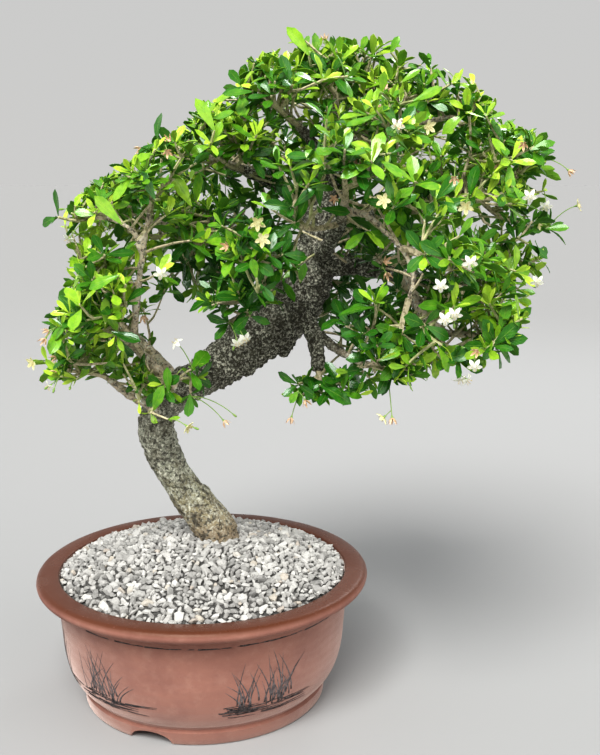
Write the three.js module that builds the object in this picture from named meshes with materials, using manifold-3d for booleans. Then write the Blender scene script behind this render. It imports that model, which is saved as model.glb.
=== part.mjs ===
/**
 * A flowering fukien tea bonsai in a round clay pot.
 *
 * The plant is worked out in millimetres with +Z up, the pot's axis at x = y = 0 and the table at z = 0.
 * The exported group is then shifted sideways, so that its origin is the bottom centre of its bounding box.
 * Wood is one closed body from the root crown to the branch ends. Each leafy spray and each flower stalk is a
 * closed body of its own, seated on the wood with a hair gap.
 */
import Module from 'manifold-3d';
import * as THREE from 'three';
import { mergeVertices } from 'three/addons/utils/BufferGeometryUtils.js';

const wasm = await Module();
wasm.setup();
const { Manifold } = wasm;

// Driving dimensions

const SEAT_GAP = 0.3;
const END_GAP = 0.4;
const CLEARANCE = 0.35;
const WELD = 1e-4;
const UP = new THREE.Vector3(0, 0, 1);

const POT = {
  height: 100,
  lipRadius: 127,
  lipThickness: 9,
  rimInnerRadius: 110,
  waistRadius: 109,
  waistHeight: 55,
  footRadius: 93.5,
  footWidth: 11,
  footHeight: 9.5,
  floorThickness: 7,
  innerFlare: 3,
  footDraft: 2,
  groove: { lip: 1, depth: 1.2, bottom: 1.5, top: 4 },
  belly: { inset: 1.5, height: 22 },
  shoulder: { reach: 3, drop: 1 },
  rimBevel: 1.2,
  innerCorner: { inset: 21, pull: 4 },
  arch: { halfWidth: 16.5, height: 8, azimuths: [-110, 10, 130] },
  drain: { radius: 11, offset: 36 },
  sides: 36,
};

const SCREEN = { size: 30, thickness: 1.2, holes: 2, bar: 3 };
const SOIL_TOP = 90;
const GRAVEL = {
  rings: 8,
  edgeHeight: 98.5,
  crownHeight: 119,
  bulge: 0.8,
  relief: 1.5,
  spread: 1.6,
  turn: 0.2,
};

const LEAF = {
  shortest: 18,
  longest: 27,
  width: 0.52,
  arch: 0.14,
  root: 1,
  stalk: 0.8,
  waist: { at: 0.42, width: 0.8 },
  widestAt: 0.74,
  crestAt: 0.58,
  crest: 1.3,
  leans: [48, 80],
  turnJitter: 0.15,
  leanJitter: 8,
  sizeJitter: 0.12,
};
const TWIG = {
  radii: [2.2, 1.5],
  bud: 1.6,
  stepLength: 24,
  squareness: 0.6,
  outward: 0.8,
  rise: 0.5,
  sweep: 0.35,
};
const SIDE_SHOOT = {
  radii: [1.1, 1.4],
  forks: [0.42, 0.72],
  onward: 0.5,
  spread: [0.7, 1],
  rise: [0.1, 0.7],
  length: [16, 24],
};
const OFFSHOOT = { radii: [1.5, 1.4], blades: 3 };
const BLADES = [4, 4, 3];
const SWINGS = [0, 0.25, -0.25];
const CROWN_HEART = new THREE.Vector3(90, 10, 330);

const FLOWER = { radius: 5.2, innerRadius: 2.1, thickness: 0.8, lobes: 5, cup: 0.3 };
const CYME = { seat: 0.8, tries: 30, turn: 0.2, bend: 0.5, rise: 0.15 };
const STALK = { radius: 0.55, calyxRadius: 1.3, fork: 0.6, sideLength: 10, onward: 0.6, aside: 0.9 };

// The trunk's centre line and half thickness, from the root crown in the soil to the top of the wood

const TRUNK_ROUTE = [
  [12, 18, 76], [11, 18, 100], [9, 18, 119], [-3, 18, 138], [-17, 17, 158], [-28, 15, 178], [-34, 12, 196],
  [-35, 10, 213], [-27, 8, 229], [-12, 5, 241], [7, 2, 251], [26, 0, 265], [43, 0, 281], [60, 0, 294],
  [76, 0, 311], [85, 0, 333], [88, 0, 356], [90, 2, 379], [93, 4, 402], [97, 5, 430], [101, 3, 452],
];
const TRUNK = { sides: 9, steps: 22, roughness: 0.9 };
const TRUNK_RADII = [
  13, 18, 19, 16, 14.5, 15, 15, 14, 13.5, 14, 16, 19.5, 22, 20.5, 17, 14, 12, 10.5, 8.5, 5, 3,
];

const BRANCH_SIDES = 5;

// Each branch: the points of its route, the first one inside the wood that bears it, and its end radii

const BRANCHES = {
  lowLeft: { route: [[-28, 8, 222], [-38, -5, 229], [-50, -20, 239], [-63, -34, 254]], radii: [5.5, 3] },
  tanLeft: { route: [[-14, 5, 238], [-30, -20, 258], [-45, -38, 280], [-57, -50, 291]], radii: [5.5, 2.8] },
  tanUpright: {
    route: [[-45, -38, 280], [-40, -48, 300], [-36, -54, 322], [-32, -58, 345], [-26, -60, 374]],
    radii: [3.6, 2.6],
  },
  tanSide: { route: [[-32, -58, 348], [-38, -60, 360], [-48, -60, 367], [-58, -60, 370]], radii: [3, 2.4] },
  backLeft: { route: [[-14, 5, 238], [-30, 28, 252], [-48, 46, 266], [-62, 58, 276]], radii: [5.5, 2.8] },
  darkLeft: {
    route: [[86, 0, 336], [58, 5, 345], [28, 9, 351], [-6, 12, 356], [-38, 14, 366]],
    radii: [7.5, 3],
  },
  highLeft: { route: [[89, 1, 372], [62, 6, 388], [36, 4, 400], [8, 0, 411]], radii: [7, 2.8] },
  topLeft: { route: [[93, 4, 400], [84, 0, 420], [70, -2, 436], [54, -2, 448]], radii: [5.5, 2.6] },
  topRight: { route: [[93, 4, 400], [114, 2, 420], [132, 0, 438], [148, -4, 452]], radii: [6.5, 2.8] },
  farRight: { route: [[122, -2, 429], [145, -6, 432], [168, -10, 435], [182, -12, 438]], radii: [4, 2.6] },
  right: {
    route: [[88, 0, 356], [122, -4, 370], [160, -8, 382], [198, -10, 390], [222, -10, 394]],
    radii: [8.5, 2.8],
  },
  lowRight: {
    route: [[85, 0, 330], [114, -18, 333], [150, -34, 327], [186, -38, 324], [212, -32, 324]],
    radii: [7.5, 2.8],
  },
  front: { route: [[86, 0, 338], [94, -28, 348], [102, -58, 364], [104, -92, 384]], radii: [7, 2.8] },
  frontTan: {
    route: [
      [103, -74, 373], [117, -88, 373], [129, -96, 363],
      [142, -100, 349], [148, -100, 332], [145, -100, 318],
    ],
    radii: [3.2, 2.4],
  },
  frontLeft: { route: [[70, 0, 303], [62, -28, 316], [56, -56, 328], [53, -84, 338]], radii: [6, 2.8] },
  mossStub: { route: [[72, 0, 300], [82, -18, 290], [87, -30, 275], [88, -38, 260]], radii: [7.5, 5] },
  frontLow: { route: [[82, -18, 289], [100, -44, 278], [116, -66, 272], [126, -78, 271]], radii: [5, 2.6] },
  cutBranch: { route: [[150, -34, 327], [158, -58, 306], [172, -76, 294], [188, -86, 294]], radii: [5, 3] },
  backHigh: { route: [[89, 1, 374], [84, 34, 388], [74, 66, 402], [64, 92, 410]], radii: [7, 2.8] },
  backRight: { route: [[90, 2, 380], [112, 36, 392], [134, 68, 400], [150, 94, 404]], radii: [7, 2.8] },
  backLow: { route: [[84, 0, 328], [100, 34, 332], [120, 68, 332], [138, 96, 328]], radii: [7, 2.8] },
  backInner: { route: [[72, 0, 306], [52, 32, 322], [30, 60, 334], [10, 82, 342]], radii: [7, 2.8] },
  rightBack: { route: [[160, -8, 382], [184, 24, 388], [204, 52, 390]], radii: [4.5, 2.6] },
  crownBack: { route: [[94, 4, 410], [98, 24, 430], [102, 42, 446]], radii: [5, 2.6] },
};

// Each spray: the branch that bears it, how far along it (1 is its end), and where the twig ends

const SPRAYS = [
  { on: 'lowLeft', at: 1, tip: [-90, -44, 262] },
  { on: 'tanLeft', at: 1, tip: [-88, -58, 296] },
  { on: 'tanLeft', at: 0.62, tip: [-58, -76, 312] },
  { on: 'tanLeft', at: 0.3, tip: [-21, -44, 250] },
  { on: 'backLeft', at: 1, tip: [-95, 74, 288] },
  { on: 'backLeft', at: 0.6, tip: [-88, 22, 276] },
  { on: 'tanSide', at: 1, tip: [-74, -52, 368] },
  { on: 'tanUpright', at: 1, tip: [-24, -68, 392] },
  { on: 'tanUpright', at: 0.35, tip: [-63, -62, 336] },
  { on: 'darkLeft', at: 1, tip: [-71, 18, 379] },
  { on: 'darkLeft', at: 0.6, tip: [0, -38, 352] },
  { on: 'darkLeft', at: 0.8, tip: [-56, 62, 352] },
  { on: 'highLeft', at: 1, tip: [-24, 0, 415] },
  { on: 'highLeft', at: 0.7, tip: [17, -48, 413] },
  { on: 'highLeft', at: 0.6, tip: [2, 48, 428] },
  { on: 'topLeft', at: 1, tip: [36, 0, 450] },
  { on: 'topLeft', at: 0.6, tip: [56, -50, 450] },
  { on: 'trunk', at: 1, tip: [88, -4, 468] },
  { on: 'topRight', at: 0.7, tip: [124, 24, 464] },
  { on: 'topRight', at: 1, tip: [158, -5, 448] },
  { on: 'farRight', at: 1, tip: [198, -15, 426] },
  { on: 'right', at: 1, tip: [234, -10, 399] },
  { on: 'right', at: 0.82, tip: [248, 10, 362] },
  { on: 'lowRight', at: 1, tip: [232, -20, 328] },
  { on: 'lowRight', at: 0.8, tip: [210, -62, 294] },
  { on: 'front', at: 1, tip: [102, -125, 402] },
  { on: 'front', at: 0.66, tip: [72, -100, 368] },
  { on: 'frontTan', at: 1, tip: [140, -110, 298] },
  { on: 'frontTan', at: 0.6, tip: [170, -122, 340] },
  { on: 'frontLeft', at: 1, tip: [47, -112, 344] },
  { on: 'frontLeft', at: 0.55, tip: [27, -72, 300] },
  { on: 'frontLow', at: 1, tip: [134, -94, 272] },
  { on: 'mossStub', at: 1, tip: [90, -48, 254] },
  { on: 'cutBranch', at: 1, tip: [204, -94, 288] },
  { on: 'cutBranch', at: 0.6, tip: [178, -104, 282] },
  { on: 'right', at: 0.42, tip: [160, -106, 382] },
  { on: 'topRight', at: 0.45, tip: [137, -88, 428] },
  { on: 'right', at: 0.66, tip: [207, -80, 386] },
  { on: 'backHigh', at: 1, tip: [48, 122, 420] },
  { on: 'backRight', at: 1, tip: [162, 124, 412] },
  { on: 'backLow', at: 1, tip: [150, 128, 322] },
  { on: 'backInner', at: 1, tip: [-14, 106, 350] },
  { on: 'rightBack', at: 1, tip: [230, 80, 392] },
  { on: 'crownBack', at: 1, tip: [104, 72, 462] },
];

// Longer shoots that fill the crown: the spray that bears each, how far along its twig it forks, and its end

const OFFSHOOTS = [
  { spray: 38, at: 0.3, tip: [22, 82, 404] },
  { spray: 38, at: 0.4, tip: [84, 122, 398] },
  { spray: 39, at: 0.3, tip: [118, 112, 428] },
  { spray: 39, at: 0.3, tip: [192, 96, 402] },
  { spray: 40, at: 0.3, tip: [104, 118, 350] },
  { spray: 40, at: 0.3, tip: [184, 96, 344] },
  { spray: 41, at: 0.3, tip: [30, 112, 372] },
  { spray: 41, at: 0.3, tip: [-24, 68, 330] },
  { spray: 42, at: 0.3, tip: [206, 62, 424] },
  { spray: 42, at: 0.3, tip: [226, 66, 358] },
  { spray: 43, at: 0.3, tip: [70, 60, 452] },
  { spray: 43, at: 0.3, tip: [142, 62, 446] },
  { spray: 11, at: 0.5, tip: [-20, 46, 386] },
  { spray: 14, at: 0.5, tip: [34, 44, 446] },
  { spray: 5, at: 0.3, tip: [-56, 48, 306] },
  { spray: 35, at: 0.5, tip: [128, -58, 404] },
  { spray: 37, at: 0.4, tip: [192, -42, 412] },
  { spray: 24, at: 0.25, tip: [208, -48, 352] },
  { spray: 9, at: 0.3, tip: [-42, -16, 394] },
  { spray: 34, at: 0.3, tip: [136, -62, 308] },
  { spray: 31, at: 0.3, tip: [104, -68, 302] },
];

// Each flower stalk: the spray and the rosette that bear it, the way it leans, its length and its flowers

const CYMES = [
  { spray: 0, lean: [-0.8, -0.3, -0.6], length: 22, flowers: 2 },
  { spray: 1, lean: [-0.7, -0.4, -0.3], length: 18, flowers: 1 },
  { spray: 3, lean: [-0.6, -0.6, -0.6], length: 24, flowers: 1 },
  { spray: 6, lean: [-0.5, -0.4, -0.9], length: 20, flowers: 1 },
  { spray: 21, lean: [0.5, -0.5, -0.6], length: 18, flowers: 2 },
  { spray: 22, lean: [0.9, -0.2, -0.2], length: 18, flowers: 1 },
  { spray: 31, lean: [0.1, -0.2, -1], length: 34, flowers: 2 },
  { spray: 34, lean: [0.2, -0.4, -0.8], length: 22, flowers: 1 },
  { spray: 29, lean: [0.2, -0.8, 0.2], length: 16, flowers: 1 },
  { spray: 39, lean: [0.4, 0.8, 0.1], length: 18, flowers: 1 },
];

const COLOURS = {
  clay: 0x7c4a3c,
  gravel: 0x9b9996,
  soil: 0x3a2a1f,
  screen: 0x1d1f1e,
  bark: 0x6b6358,
  leaf: [0x2f6b1f, 0x3b7a22, 0x54922a, 0x2a5f22],
  flower: 0xf3f0dc,
};

/** A seeded stream of numbers from 0 to 1, so that every build is the same. */
class Draw {
  constructor(seed) {
    this.state = (seed * 7919 + 12345) >>> 0;
    this.next();
    this.next();
  }

  next() {
    this.state = (Math.imul(this.state, 1664525) + 1013904223) >>> 0;
    return this.state / 4294967296;
  }

  between(low, high) {
    return low + (high - low) * this.next();
  }

  about(middle, reach) {
    return this.between(middle - reach, middle + reach);
  }
}

function point([x, y, z]) {
  return new THREE.Vector3(x, y, z);
}

/** A value read off a list of evenly spaced ones, with t from 0 to 1. */
function readOff(values, t) {
  const place = THREE.MathUtils.clamp(t, 0, 1) * (values.length - 1);
  const low = Math.min(Math.floor(place), values.length - 2);
  return THREE.MathUtils.lerp(values[low], values[low + 1], place - low);
}

/** Two unit vectors square to an axis and to each other. */
function squareTo(axis) {
  const reference = Math.abs(axis.z) < 0.9 ? UP : new THREE.Vector3(1, 0, 0);
  const first = new THREE.Vector3().crossVectors(axis, reference).normalize();
  const second = new THREE.Vector3().crossVectors(axis, first).normalize();
  return [first, second];
}

/** The solid inside a closed three.js geometry. */
function solidOf(geometry) {
  const bare = geometry.clone();
  bare.deleteAttribute('normal');
  bare.deleteAttribute('uv');
  const merged = mergeVertices(bare, WELD);
  const vertProperties = new Float32Array(merged.attributes.position.array);
  const triVerts = new Uint32Array(merged.index.array);
  return new Manifold(new wasm.Mesh({ numProp: 3, vertProperties, triVerts }));
}

/** The geometry of a solid's faces. */
function geometryOf(solid) {
  const mesh = solid.getMesh();
  const geometry = new THREE.BufferGeometry();
  geometry.setAttribute('position', new THREE.BufferAttribute(new Float32Array(mesh.vertProperties), 3));
  geometry.setIndex(new THREE.BufferAttribute(new Uint32Array(mesh.triVerts), 1));
  return geometry;
}

function meshOf(name, geometry, color, roughness) {
  const faces = geometry.index ? geometry.toNonIndexed() : geometry;
  faces.computeVertexNormals();
  const mesh = new THREE.Mesh(faces, new THREE.MeshStandardMaterial({ color, roughness, metalness: 0 }));
  mesh.name = name;
  return mesh;
}

/** A smooth line through a list of points. */
function lineThrough(route) {
  return new THREE.CatmullRomCurve3(route.map(point), false, 'centripetal');
}

/** Round wood that follows a line, thick as its radii say; rough is how far its surface wanders. */
function limb(curve, radii, sides, steps, rough = 0) {
  const geometry = new THREE.CylinderGeometry(1, 1, 1, sides, steps);
  const frames = curve.computeFrenetFrames(steps, false);
  const position = geometry.attributes.position;
  const bumps = Array.from({ length: steps + 1 }, (_, ring) => {
    const draw = new Draw(ring + 101);
    return Array.from({ length: sides }, () => draw.about(0, rough));
  });
  for (let i = 0; i < position.count; i += 1) {
    const x = position.getX(i);
    const z = position.getZ(i);
    const ring = Math.round((position.getY(i) + 0.5) * steps);
    const onAxis = Math.hypot(x, z) < 0.5;
    const side = Math.round((Math.atan2(z, x) / (2 * Math.PI)) * sides + sides) % sides;
    const radius = readOff(radii, ring / steps) + (onAxis ? 0 : bumps[ring][side]);
    const place = curve.getPointAt(ring / steps);
    place.addScaledVector(frames.normals[ring], x * radius);
    place.addScaledVector(frames.binormals[ring], -z * radius);
    position.setXYZ(i, place.x, place.y, place.z);
  }
  return geometry;
}

// Pot, soil and gravel

/** The pot's inner radius at a height on the upper half of its wall. */
function innerRadiusAt(height) {
  const knee = POT.height / 2;
  return POT.rimInnerRadius - POT.innerFlare * (1 - (height - knee) / (POT.height - knee));
}

/** The line inside the pot's wall from the middle of the floor up to a height, drawn in by a clearance. */
function insideWall(path, clearance, top) {
  const knee = POT.height / 2;
  const floor = POT.footHeight + POT.floorThickness + clearance;
  const reach = innerRadiusAt(knee) - clearance;
  path.lineTo(0, floor);
  path.lineTo(reach - POT.innerCorner.inset, floor);
  path.quadraticCurveTo(reach - POT.innerCorner.pull, floor + POT.innerCorner.pull, reach, knee);
  path.lineTo(innerRadiusAt(top) - clearance, top);
}

function potSolid() {
  const { height, footRadius, footHeight, waistRadius, groove, belly, shoulder, rimBevel } = POT;
  const lip = POT.lipThickness / 2;
  const lipCentre = POT.lipRadius - lip;
  const footInner = footRadius - POT.footWidth;
  const throat = height - POT.lipThickness;
  const wall = new THREE.Path();
  wall.moveTo(0, footHeight);
  wall.lineTo(footInner - POT.footDraft, footHeight);
  wall.lineTo(footInner, 0);
  wall.lineTo(footRadius, 0);
  wall.lineTo(footRadius + groove.lip, footHeight);
  wall.lineTo(footRadius - groove.depth, footHeight + groove.bottom);
  wall.lineTo(footRadius, footHeight + groove.top);
  wall.quadraticCurveTo(waistRadius - belly.inset, belly.height, waistRadius, POT.waistHeight);
  wall.lineTo(waistRadius + shoulder.reach, throat - shoulder.drop);
  wall.lineTo(lipCentre, throat);
  wall.absarc(lipCentre, height - lip, lip, -Math.PI / 2, Math.PI / 2, false);
  wall.lineTo(POT.rimInnerRadius + rimBevel, height);
  wall.lineTo(POT.rimInnerRadius, height - rimBevel);
  const inner = new THREE.Path();
  insideWall(inner, 0, height - rimBevel);
  const points = [...wall.getPoints(2), ...inner.getPoints(2).reverse().slice(1)];
  const outline = points.map((corner) => new THREE.Vector2(corner.x, corner.y));
  let pot = solidOf(new THREE.LatheGeometry(outline, POT.sides).rotateX(Math.PI / 2));
  for (const azimuth of POT.arch.azimuths) {
    pot = pot.subtract(footArch(azimuth));
  }
  for (const side of [-1, 1]) {
    pot = pot.subtract(drainHole(side * POT.drain.offset));
  }
  return pot;
}

/** The low arch cut through the foot ring at an azimuth in degrees. */
function footArch(azimuth) {
  const { halfWidth, height } = POT.arch;
  const outline = new THREE.Shape();
  outline.moveTo(-halfWidth, -1);
  outline.lineTo(halfWidth, -1);
  outline.absellipse(0, 0, halfWidth, height, 0, Math.PI, false);
  const depth = 3 * POT.footWidth;
  const arch = new THREE.ExtrudeGeometry(outline, { depth, bevelEnabled: false, curveSegments: 8 });
  arch.rotateX(Math.PI / 2);
  arch.translate(0, POT.footRadius + POT.footWidth, 0);
  arch.rotateZ(THREE.MathUtils.degToRad(azimuth - 90));
  return solidOf(arch);
}

function drainHole(x) {
  const hole = new THREE.CylinderGeometry(POT.drain.radius, POT.drain.radius, 4 * POT.floorThickness, 20);
  hole.rotateX(Math.PI / 2);
  hole.translate(x, 0, POT.footHeight + POT.floorThickness / 2);
  return solidOf(hole);
}

/** The square mesh over a drain hole: bars both ways, joined where they cross. */
function drainScreen(x) {
  const pitch = (SCREEN.size - SCREEN.bar) / SCREEN.holes;
  const height = POT.footHeight + POT.floorThickness + SEAT_GAP + SCREEN.thickness / 2;
  const bars = [];
  for (let i = 0; i <= SCREEN.holes; i += 1) {
    const offset = i * pitch - (SCREEN.size - SCREEN.bar) / 2;
    const along = new THREE.BoxGeometry(SCREEN.size, SCREEN.bar, SCREEN.thickness);
    const across = new THREE.BoxGeometry(SCREEN.bar, SCREEN.size, SCREEN.thickness);
    bars.push(solidOf(along.translate(x, offset, height)), solidOf(across.translate(x + offset, 0, height)));
  }
  return Manifold.union(bars);
}

/** The room that a drain screen takes up under the soil. */
function screenPocket(x) {
  const size = SCREEN.size + 2 * SEAT_GAP;
  const depth = SCREEN.thickness + 3 * SEAT_GAP;
  const pocket = new THREE.BoxGeometry(size, size, 2 * depth);
  pocket.translate(x, 0, POT.footHeight + POT.floorThickness);
  return solidOf(pocket);
}

function soilSolid(rootHole) {
  const path = new THREE.Path();
  path.moveTo(0, SOIL_TOP);
  insideWall(path, 2 * SEAT_GAP, SOIL_TOP);
  path.lineTo(0, SOIL_TOP);
  const outline = path.getPoints(2).map((corner) => new THREE.Vector2(corner.x, corner.y));
  let soil = solidOf(new THREE.LatheGeometry(outline, POT.sides).rotateX(Math.PI / 2)).subtract(rootHole);
  for (const side of [-1, 1]) {
    soil = soil.subtract(screenPocket(side * POT.drain.offset));
  }
  return soil;
}

/** A dome of crushed stone: rings of corners, ring k with 6k of them, each raised or sunk by the draw. */
function gravelSolid(rootHole) {
  const { rings, edgeHeight, crownHeight, bulge, relief, spread, turn: swing } = GRAVEL;
  const floor = SOIL_TOP + SEAT_GAP;
  const reach = innerRadiusAt(floor) - 3 * SEAT_GAP;
  const draw = new Draw(5);
  const corners = [[0, 0, crownHeight]];
  const firstOf = (ring) => (ring === 0 ? 0 : 1 + 3 * ring * (ring - 1));
  for (let ring = 1; ring <= rings; ring += 1) {
    const count = 6 * ring;
    const edge = ring === rings;
    for (let i = 0; i < count; i += 1) {
      const radius = (reach * ring) / rings + draw.about(0, edge ? 0 : spread);
      const turn = ((i + draw.about(0, edge ? 0 : swing)) / count) * 2 * Math.PI;
      const dome = edgeHeight + (crownHeight - edgeHeight) * (1 - (radius / reach) ** 2) ** bulge;
      const height = edge ? edgeHeight : dome + draw.about(0, relief);
      corners.push([radius * Math.cos(turn), radius * Math.sin(turn), height]);
    }
  }
  const rimCount = 6 * rings;
  const rimStart = firstOf(rings);
  const footStart = corners.length;
  for (let i = 0; i < rimCount; i += 1) {
    const [x, y] = corners[rimStart + i];
    corners.push([x, y, floor]);
  }
  const hub = corners.length;
  corners.push([0, 0, floor]);
  const faces = [];
  for (let ring = 1; ring <= rings; ring += 1) {
    const outer = firstOf(ring);
    const inner = firstOf(ring - 1);
    const outerCount = 6 * ring;
    const innerCount = Math.max(6 * (ring - 1), 1);
    for (let sector = 0; sector < 6; sector += 1) {
      for (let step = 0; step < ring; step += 1) {
        const a = outer + ((sector * ring + step) % outerCount);
        const b = outer + ((sector * ring + step + 1) % outerCount);
        const c = inner + ((sector * (ring - 1) + step) % innerCount);
        faces.push(a, b, c);
        if (step < ring - 1) {
          const d = inner + ((sector * (ring - 1) + step + 1) % innerCount);
          faces.push(c, b, d);
        }
      }
    }
  }
  for (let i = 0; i < rimCount; i += 1) {
    const next = (i + 1) % rimCount;
    faces.push(rimStart + next, rimStart + i, footStart + i);
    faces.push(rimStart + next, footStart + i, footStart + next);
    faces.push(hub, footStart + next, footStart + i);
  }
  const geometry = new THREE.BufferGeometry();
  geometry.setAttribute('position', new THREE.Float32BufferAttribute(corners.flat(), 3));
  geometry.setIndex(faces);
  return solidOf(geometry).subtract(rootHole);
}

// Wood

const WOOD = { trunk: { curve: lineThrough(TRUNK_ROUTE), radii: TRUNK_RADII } };
for (const [name, branch] of Object.entries(BRANCHES)) {
  WOOD[name] = { curve: lineThrough(branch.route), radii: branch.radii };
}

/** The trunk's own wood, grown by a margin. */
function trunkWood(margin = 0) {
  const radii = TRUNK_RADII.map((radius) => radius + margin);
  const { sides, steps, roughness } = TRUNK;
  return solidOf(limb(lineThrough(runOn(TRUNK_ROUTE, margin)), radii, sides, steps, roughness));
}

/** Where a twig leaves the wood and the way it sets out: onward from a branch's end, or else sideways. */
function seatOf({ on, at, tip }) {
  const { curve } = WOOD[on];
  const place = curve.getPointAt(at);
  const tangent = curve.getTangentAt(at);
  if (at === 1) {
    return { place: place.addScaledVector(tangent, END_GAP), heading: tangent };
  }
  const heading = point(tip).sub(place).normalize();
  heading.addScaledVector(tangent, -TWIG.squareness * heading.dot(tangent)).normalize();
  return { place, heading };
}

/** A route that runs on past its end by a margin. */
function runOn(route, margin) {
  const [before, last] = route.slice(-2).map(point);
  const on = last.clone().sub(before).setLength(margin);
  return [...route.slice(0, -1), last.add(on).toArray()];
}

/** The trunk with all its branches, grown by a margin. */
function woodSolid(margin = 0) {
  const pieces = [trunkWood(margin)];
  for (const { route, radii } of Object.values(BRANCHES)) {
    const grown = radii.map((radius) => radius + margin);
    pieces.push(solidOf(limb(lineThrough(runOn(route, margin)), grown, BRANCH_SIDES, route.length - 1)));
  }
  return Manifold.union(pieces);
}

// Sprays

/** The blades at a shoot's end: where each one turns and leans, its length and its half width. */
function planRosette({ curve, steps }, blades, draw) {
  const place = curve.getPointAt(1);
  const frames = curve.computeFrenetFrames(steps, false);
  const [axis, normal, binormal] = [frames.tangents[steps], frames.normals[steps], frames.binormals[steps]];
  const leaves = [];
  for (let k = 0; k < blades; k += 1) {
    const turn = ((k + 0.5) / blades) * 2 * Math.PI + draw.about(0, LEAF.turnJitter);
    const age = ((k * 2) % blades) / blades;
    const degrees = THREE.MathUtils.lerp(...LEAF.leans, age) + draw.about(0, LEAF.leanJitter);
    const lean = THREE.MathUtils.degToRad(degrees);
    const length = THREE.MathUtils.lerp(LEAF.shortest, LEAF.longest, age) * draw.about(1, LEAF.sizeJitter);
    const halfWidth = 0.5 * length * LEAF.width * draw.about(1, LEAF.sizeJitter);
    leaves.push({ place, axis, normal, binormal, turn, lean, length, halfWidth });
  }
  return leaves;
}

/** The points where a blade's outline and midrib turn, with its surface pushed out by a margin. */
function bladeCorners(leaf, swing, margin) {
  const { place, axis, normal, binormal, length, halfWidth } = leaf;
  const turn = leaf.turn + swing;
  const [cosLean, sinLean] = [Math.cos(leaf.lean), Math.sin(leaf.lean)];
  const radial = normal.clone().multiplyScalar(Math.cos(turn)).addScaledVector(binormal, Math.sin(turn));
  const along = axis.clone().multiplyScalar(cosLean).addScaledVector(radial, sinLean);
  const upper = axis.clone().multiplyScalar(sinLean).addScaledVector(radial, -cosLean);
  const across = new THREE.Vector3().crossVectors(upper, along);
  const corner = (s, x, h) => {
    const spot = place.clone().addScaledVector(along, LEAF.root + s * length).addScaledVector(across, x);
    return spot.addScaledVector(upper, h - LEAF.arch * length * s * s);
  };
  const waist = LEAF.waist.width * halfWidth + margin;
  return {
    root: [
      corner(0, 0, LEAF.stalk + margin),
      corner(0, -LEAF.stalk - margin, -margin),
      corner(0, LEAF.stalk + margin, -margin),
    ],
    outline: [
      corner(LEAF.crestAt, 0, LEAF.crest + margin),
      corner(LEAF.waist.at, -waist, -margin),
      corner(LEAF.waist.at, waist, -margin),
      corner(LEAF.widestAt, -halfWidth - margin, -margin),
      corner(LEAF.widestAt, halfWidth + margin, -margin),
      corner(1 + margin / length, 0, 0),
    ],
  };
}

/** The faces that carry a root triangle on into a blade, by the places of their corners. */
function bladeFaces([top, left, right], first) {
  const [crest, leftWaist, rightWaist, leftWide, rightWide, tip] = [0, 1, 2, 3, 4, 5].map((i) => first + i);
  return [
    [top, left, leftWaist], [top, leftWaist, crest],
    [left, right, rightWaist], [left, rightWaist, leftWaist],
    [right, top, crest], [right, crest, rightWaist],
    [crest, leftWaist, leftWide], [crest, leftWide, tip],
    [crest, tip, rightWide], [crest, rightWide, rightWaist],
    [leftWaist, rightWaist, rightWide], [leftWaist, rightWide, leftWide], [leftWide, rightWide, tip],
  ];
}

function solidFromCorners(corners, faces) {
  const geometry = new THREE.BufferGeometry().setFromPoints(corners);
  geometry.setIndex(faces.flat());
  return solidOf(geometry);
}

/** A blade by itself, grown by a margin, to test what it would cross. */
function looseBlade(leaf, swing, margin) {
  const { root, outline } = bladeCorners(leaf, swing, margin);
  return solidFromCorners([...root, ...outline], [[0, 2, 1], ...bladeFaces([0, 1, 2], 3)]);
}

/** A shoot: a tube along its curve that ends in a bud, and a blade out of each bud face that bears one. */
function shootSolid(curve, radii, steps, leaves) {
  const sides = leaves.length;
  const frames = curve.computeFrenetFrames(steps, false);
  const corners = [];
  const faces = [];
  for (let ring = 0; ring <= steps; ring += 1) {
    const centre = curve.getPointAt(ring / steps);
    const radius = readOff(radii, ring / steps);
    for (let side = 0; side < sides; side += 1) {
      const turn = (side / sides) * 2 * Math.PI;
      const corner = centre.clone().addScaledVector(frames.normals[ring], radius * Math.cos(turn));
      corners.push(corner.addScaledVector(frames.binormals[ring], radius * Math.sin(turn)));
    }
  }
  const at = (ring, side) => ring * sides + (side % sides);
  for (let ring = 0; ring < steps; ring += 1) {
    for (let side = 0; side < sides; side += 1) {
      faces.push([at(ring, side), at(ring, side + 1), at(ring + 1, side + 1)]);
      faces.push([at(ring, side), at(ring + 1, side + 1), at(ring + 1, side)]);
    }
  }
  for (let side = 1; side < sides - 1; side += 1) {
    faces.push([0, side + 1, side]);
  }
  const bud = corners.length;
  corners.push(curve.getPointAt(1).addScaledVector(frames.tangents[steps], TWIG.bud));
  leaves.forEach((leaf, side) => {
    const root = [bud, at(steps, side), at(steps, side + 1)];
    if (leaf) {
      faces.push(...bladeFaces(root, corners.length));
      corners.push(...leaf.outline);
    } else {
      faces.push(root);
    }
  });
  return solidFromCorners(corners, faces);
}

/** A point on the straight-sided tube that follows a curve in steps. */
function onTube({ curve, steps }, t) {
  const ring = Math.min(Math.floor(t * steps), steps - 1);
  return curve.getPointAt(ring / steps).lerp(curve.getPointAt((ring + 1) / steps), t * steps - ring);
}

/** A twig that sets out along a heading and turns outward and up towards its tip. */
function twigTo(start, heading, tip, radii) {
  const reach = tip.distanceTo(start);
  const outward = tip.clone().sub(CROWN_HEART).normalize();
  const axis = tip.clone().sub(start).normalize().addScaledVector(outward, TWIG.outward);
  axis.addScaledVector(UP, TWIG.rise).normalize();
  const leave = start.clone().addScaledVector(heading, TWIG.sweep * reach);
  const arrive = tip.clone().addScaledVector(axis, -TWIG.sweep * reach);
  const curve = new THREE.CubicBezierCurve3(start, leave, arrive, tip);
  return { curve, radii, steps: Math.max(2, Math.round(reach / TWIG.stepLength)) };
}

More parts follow.
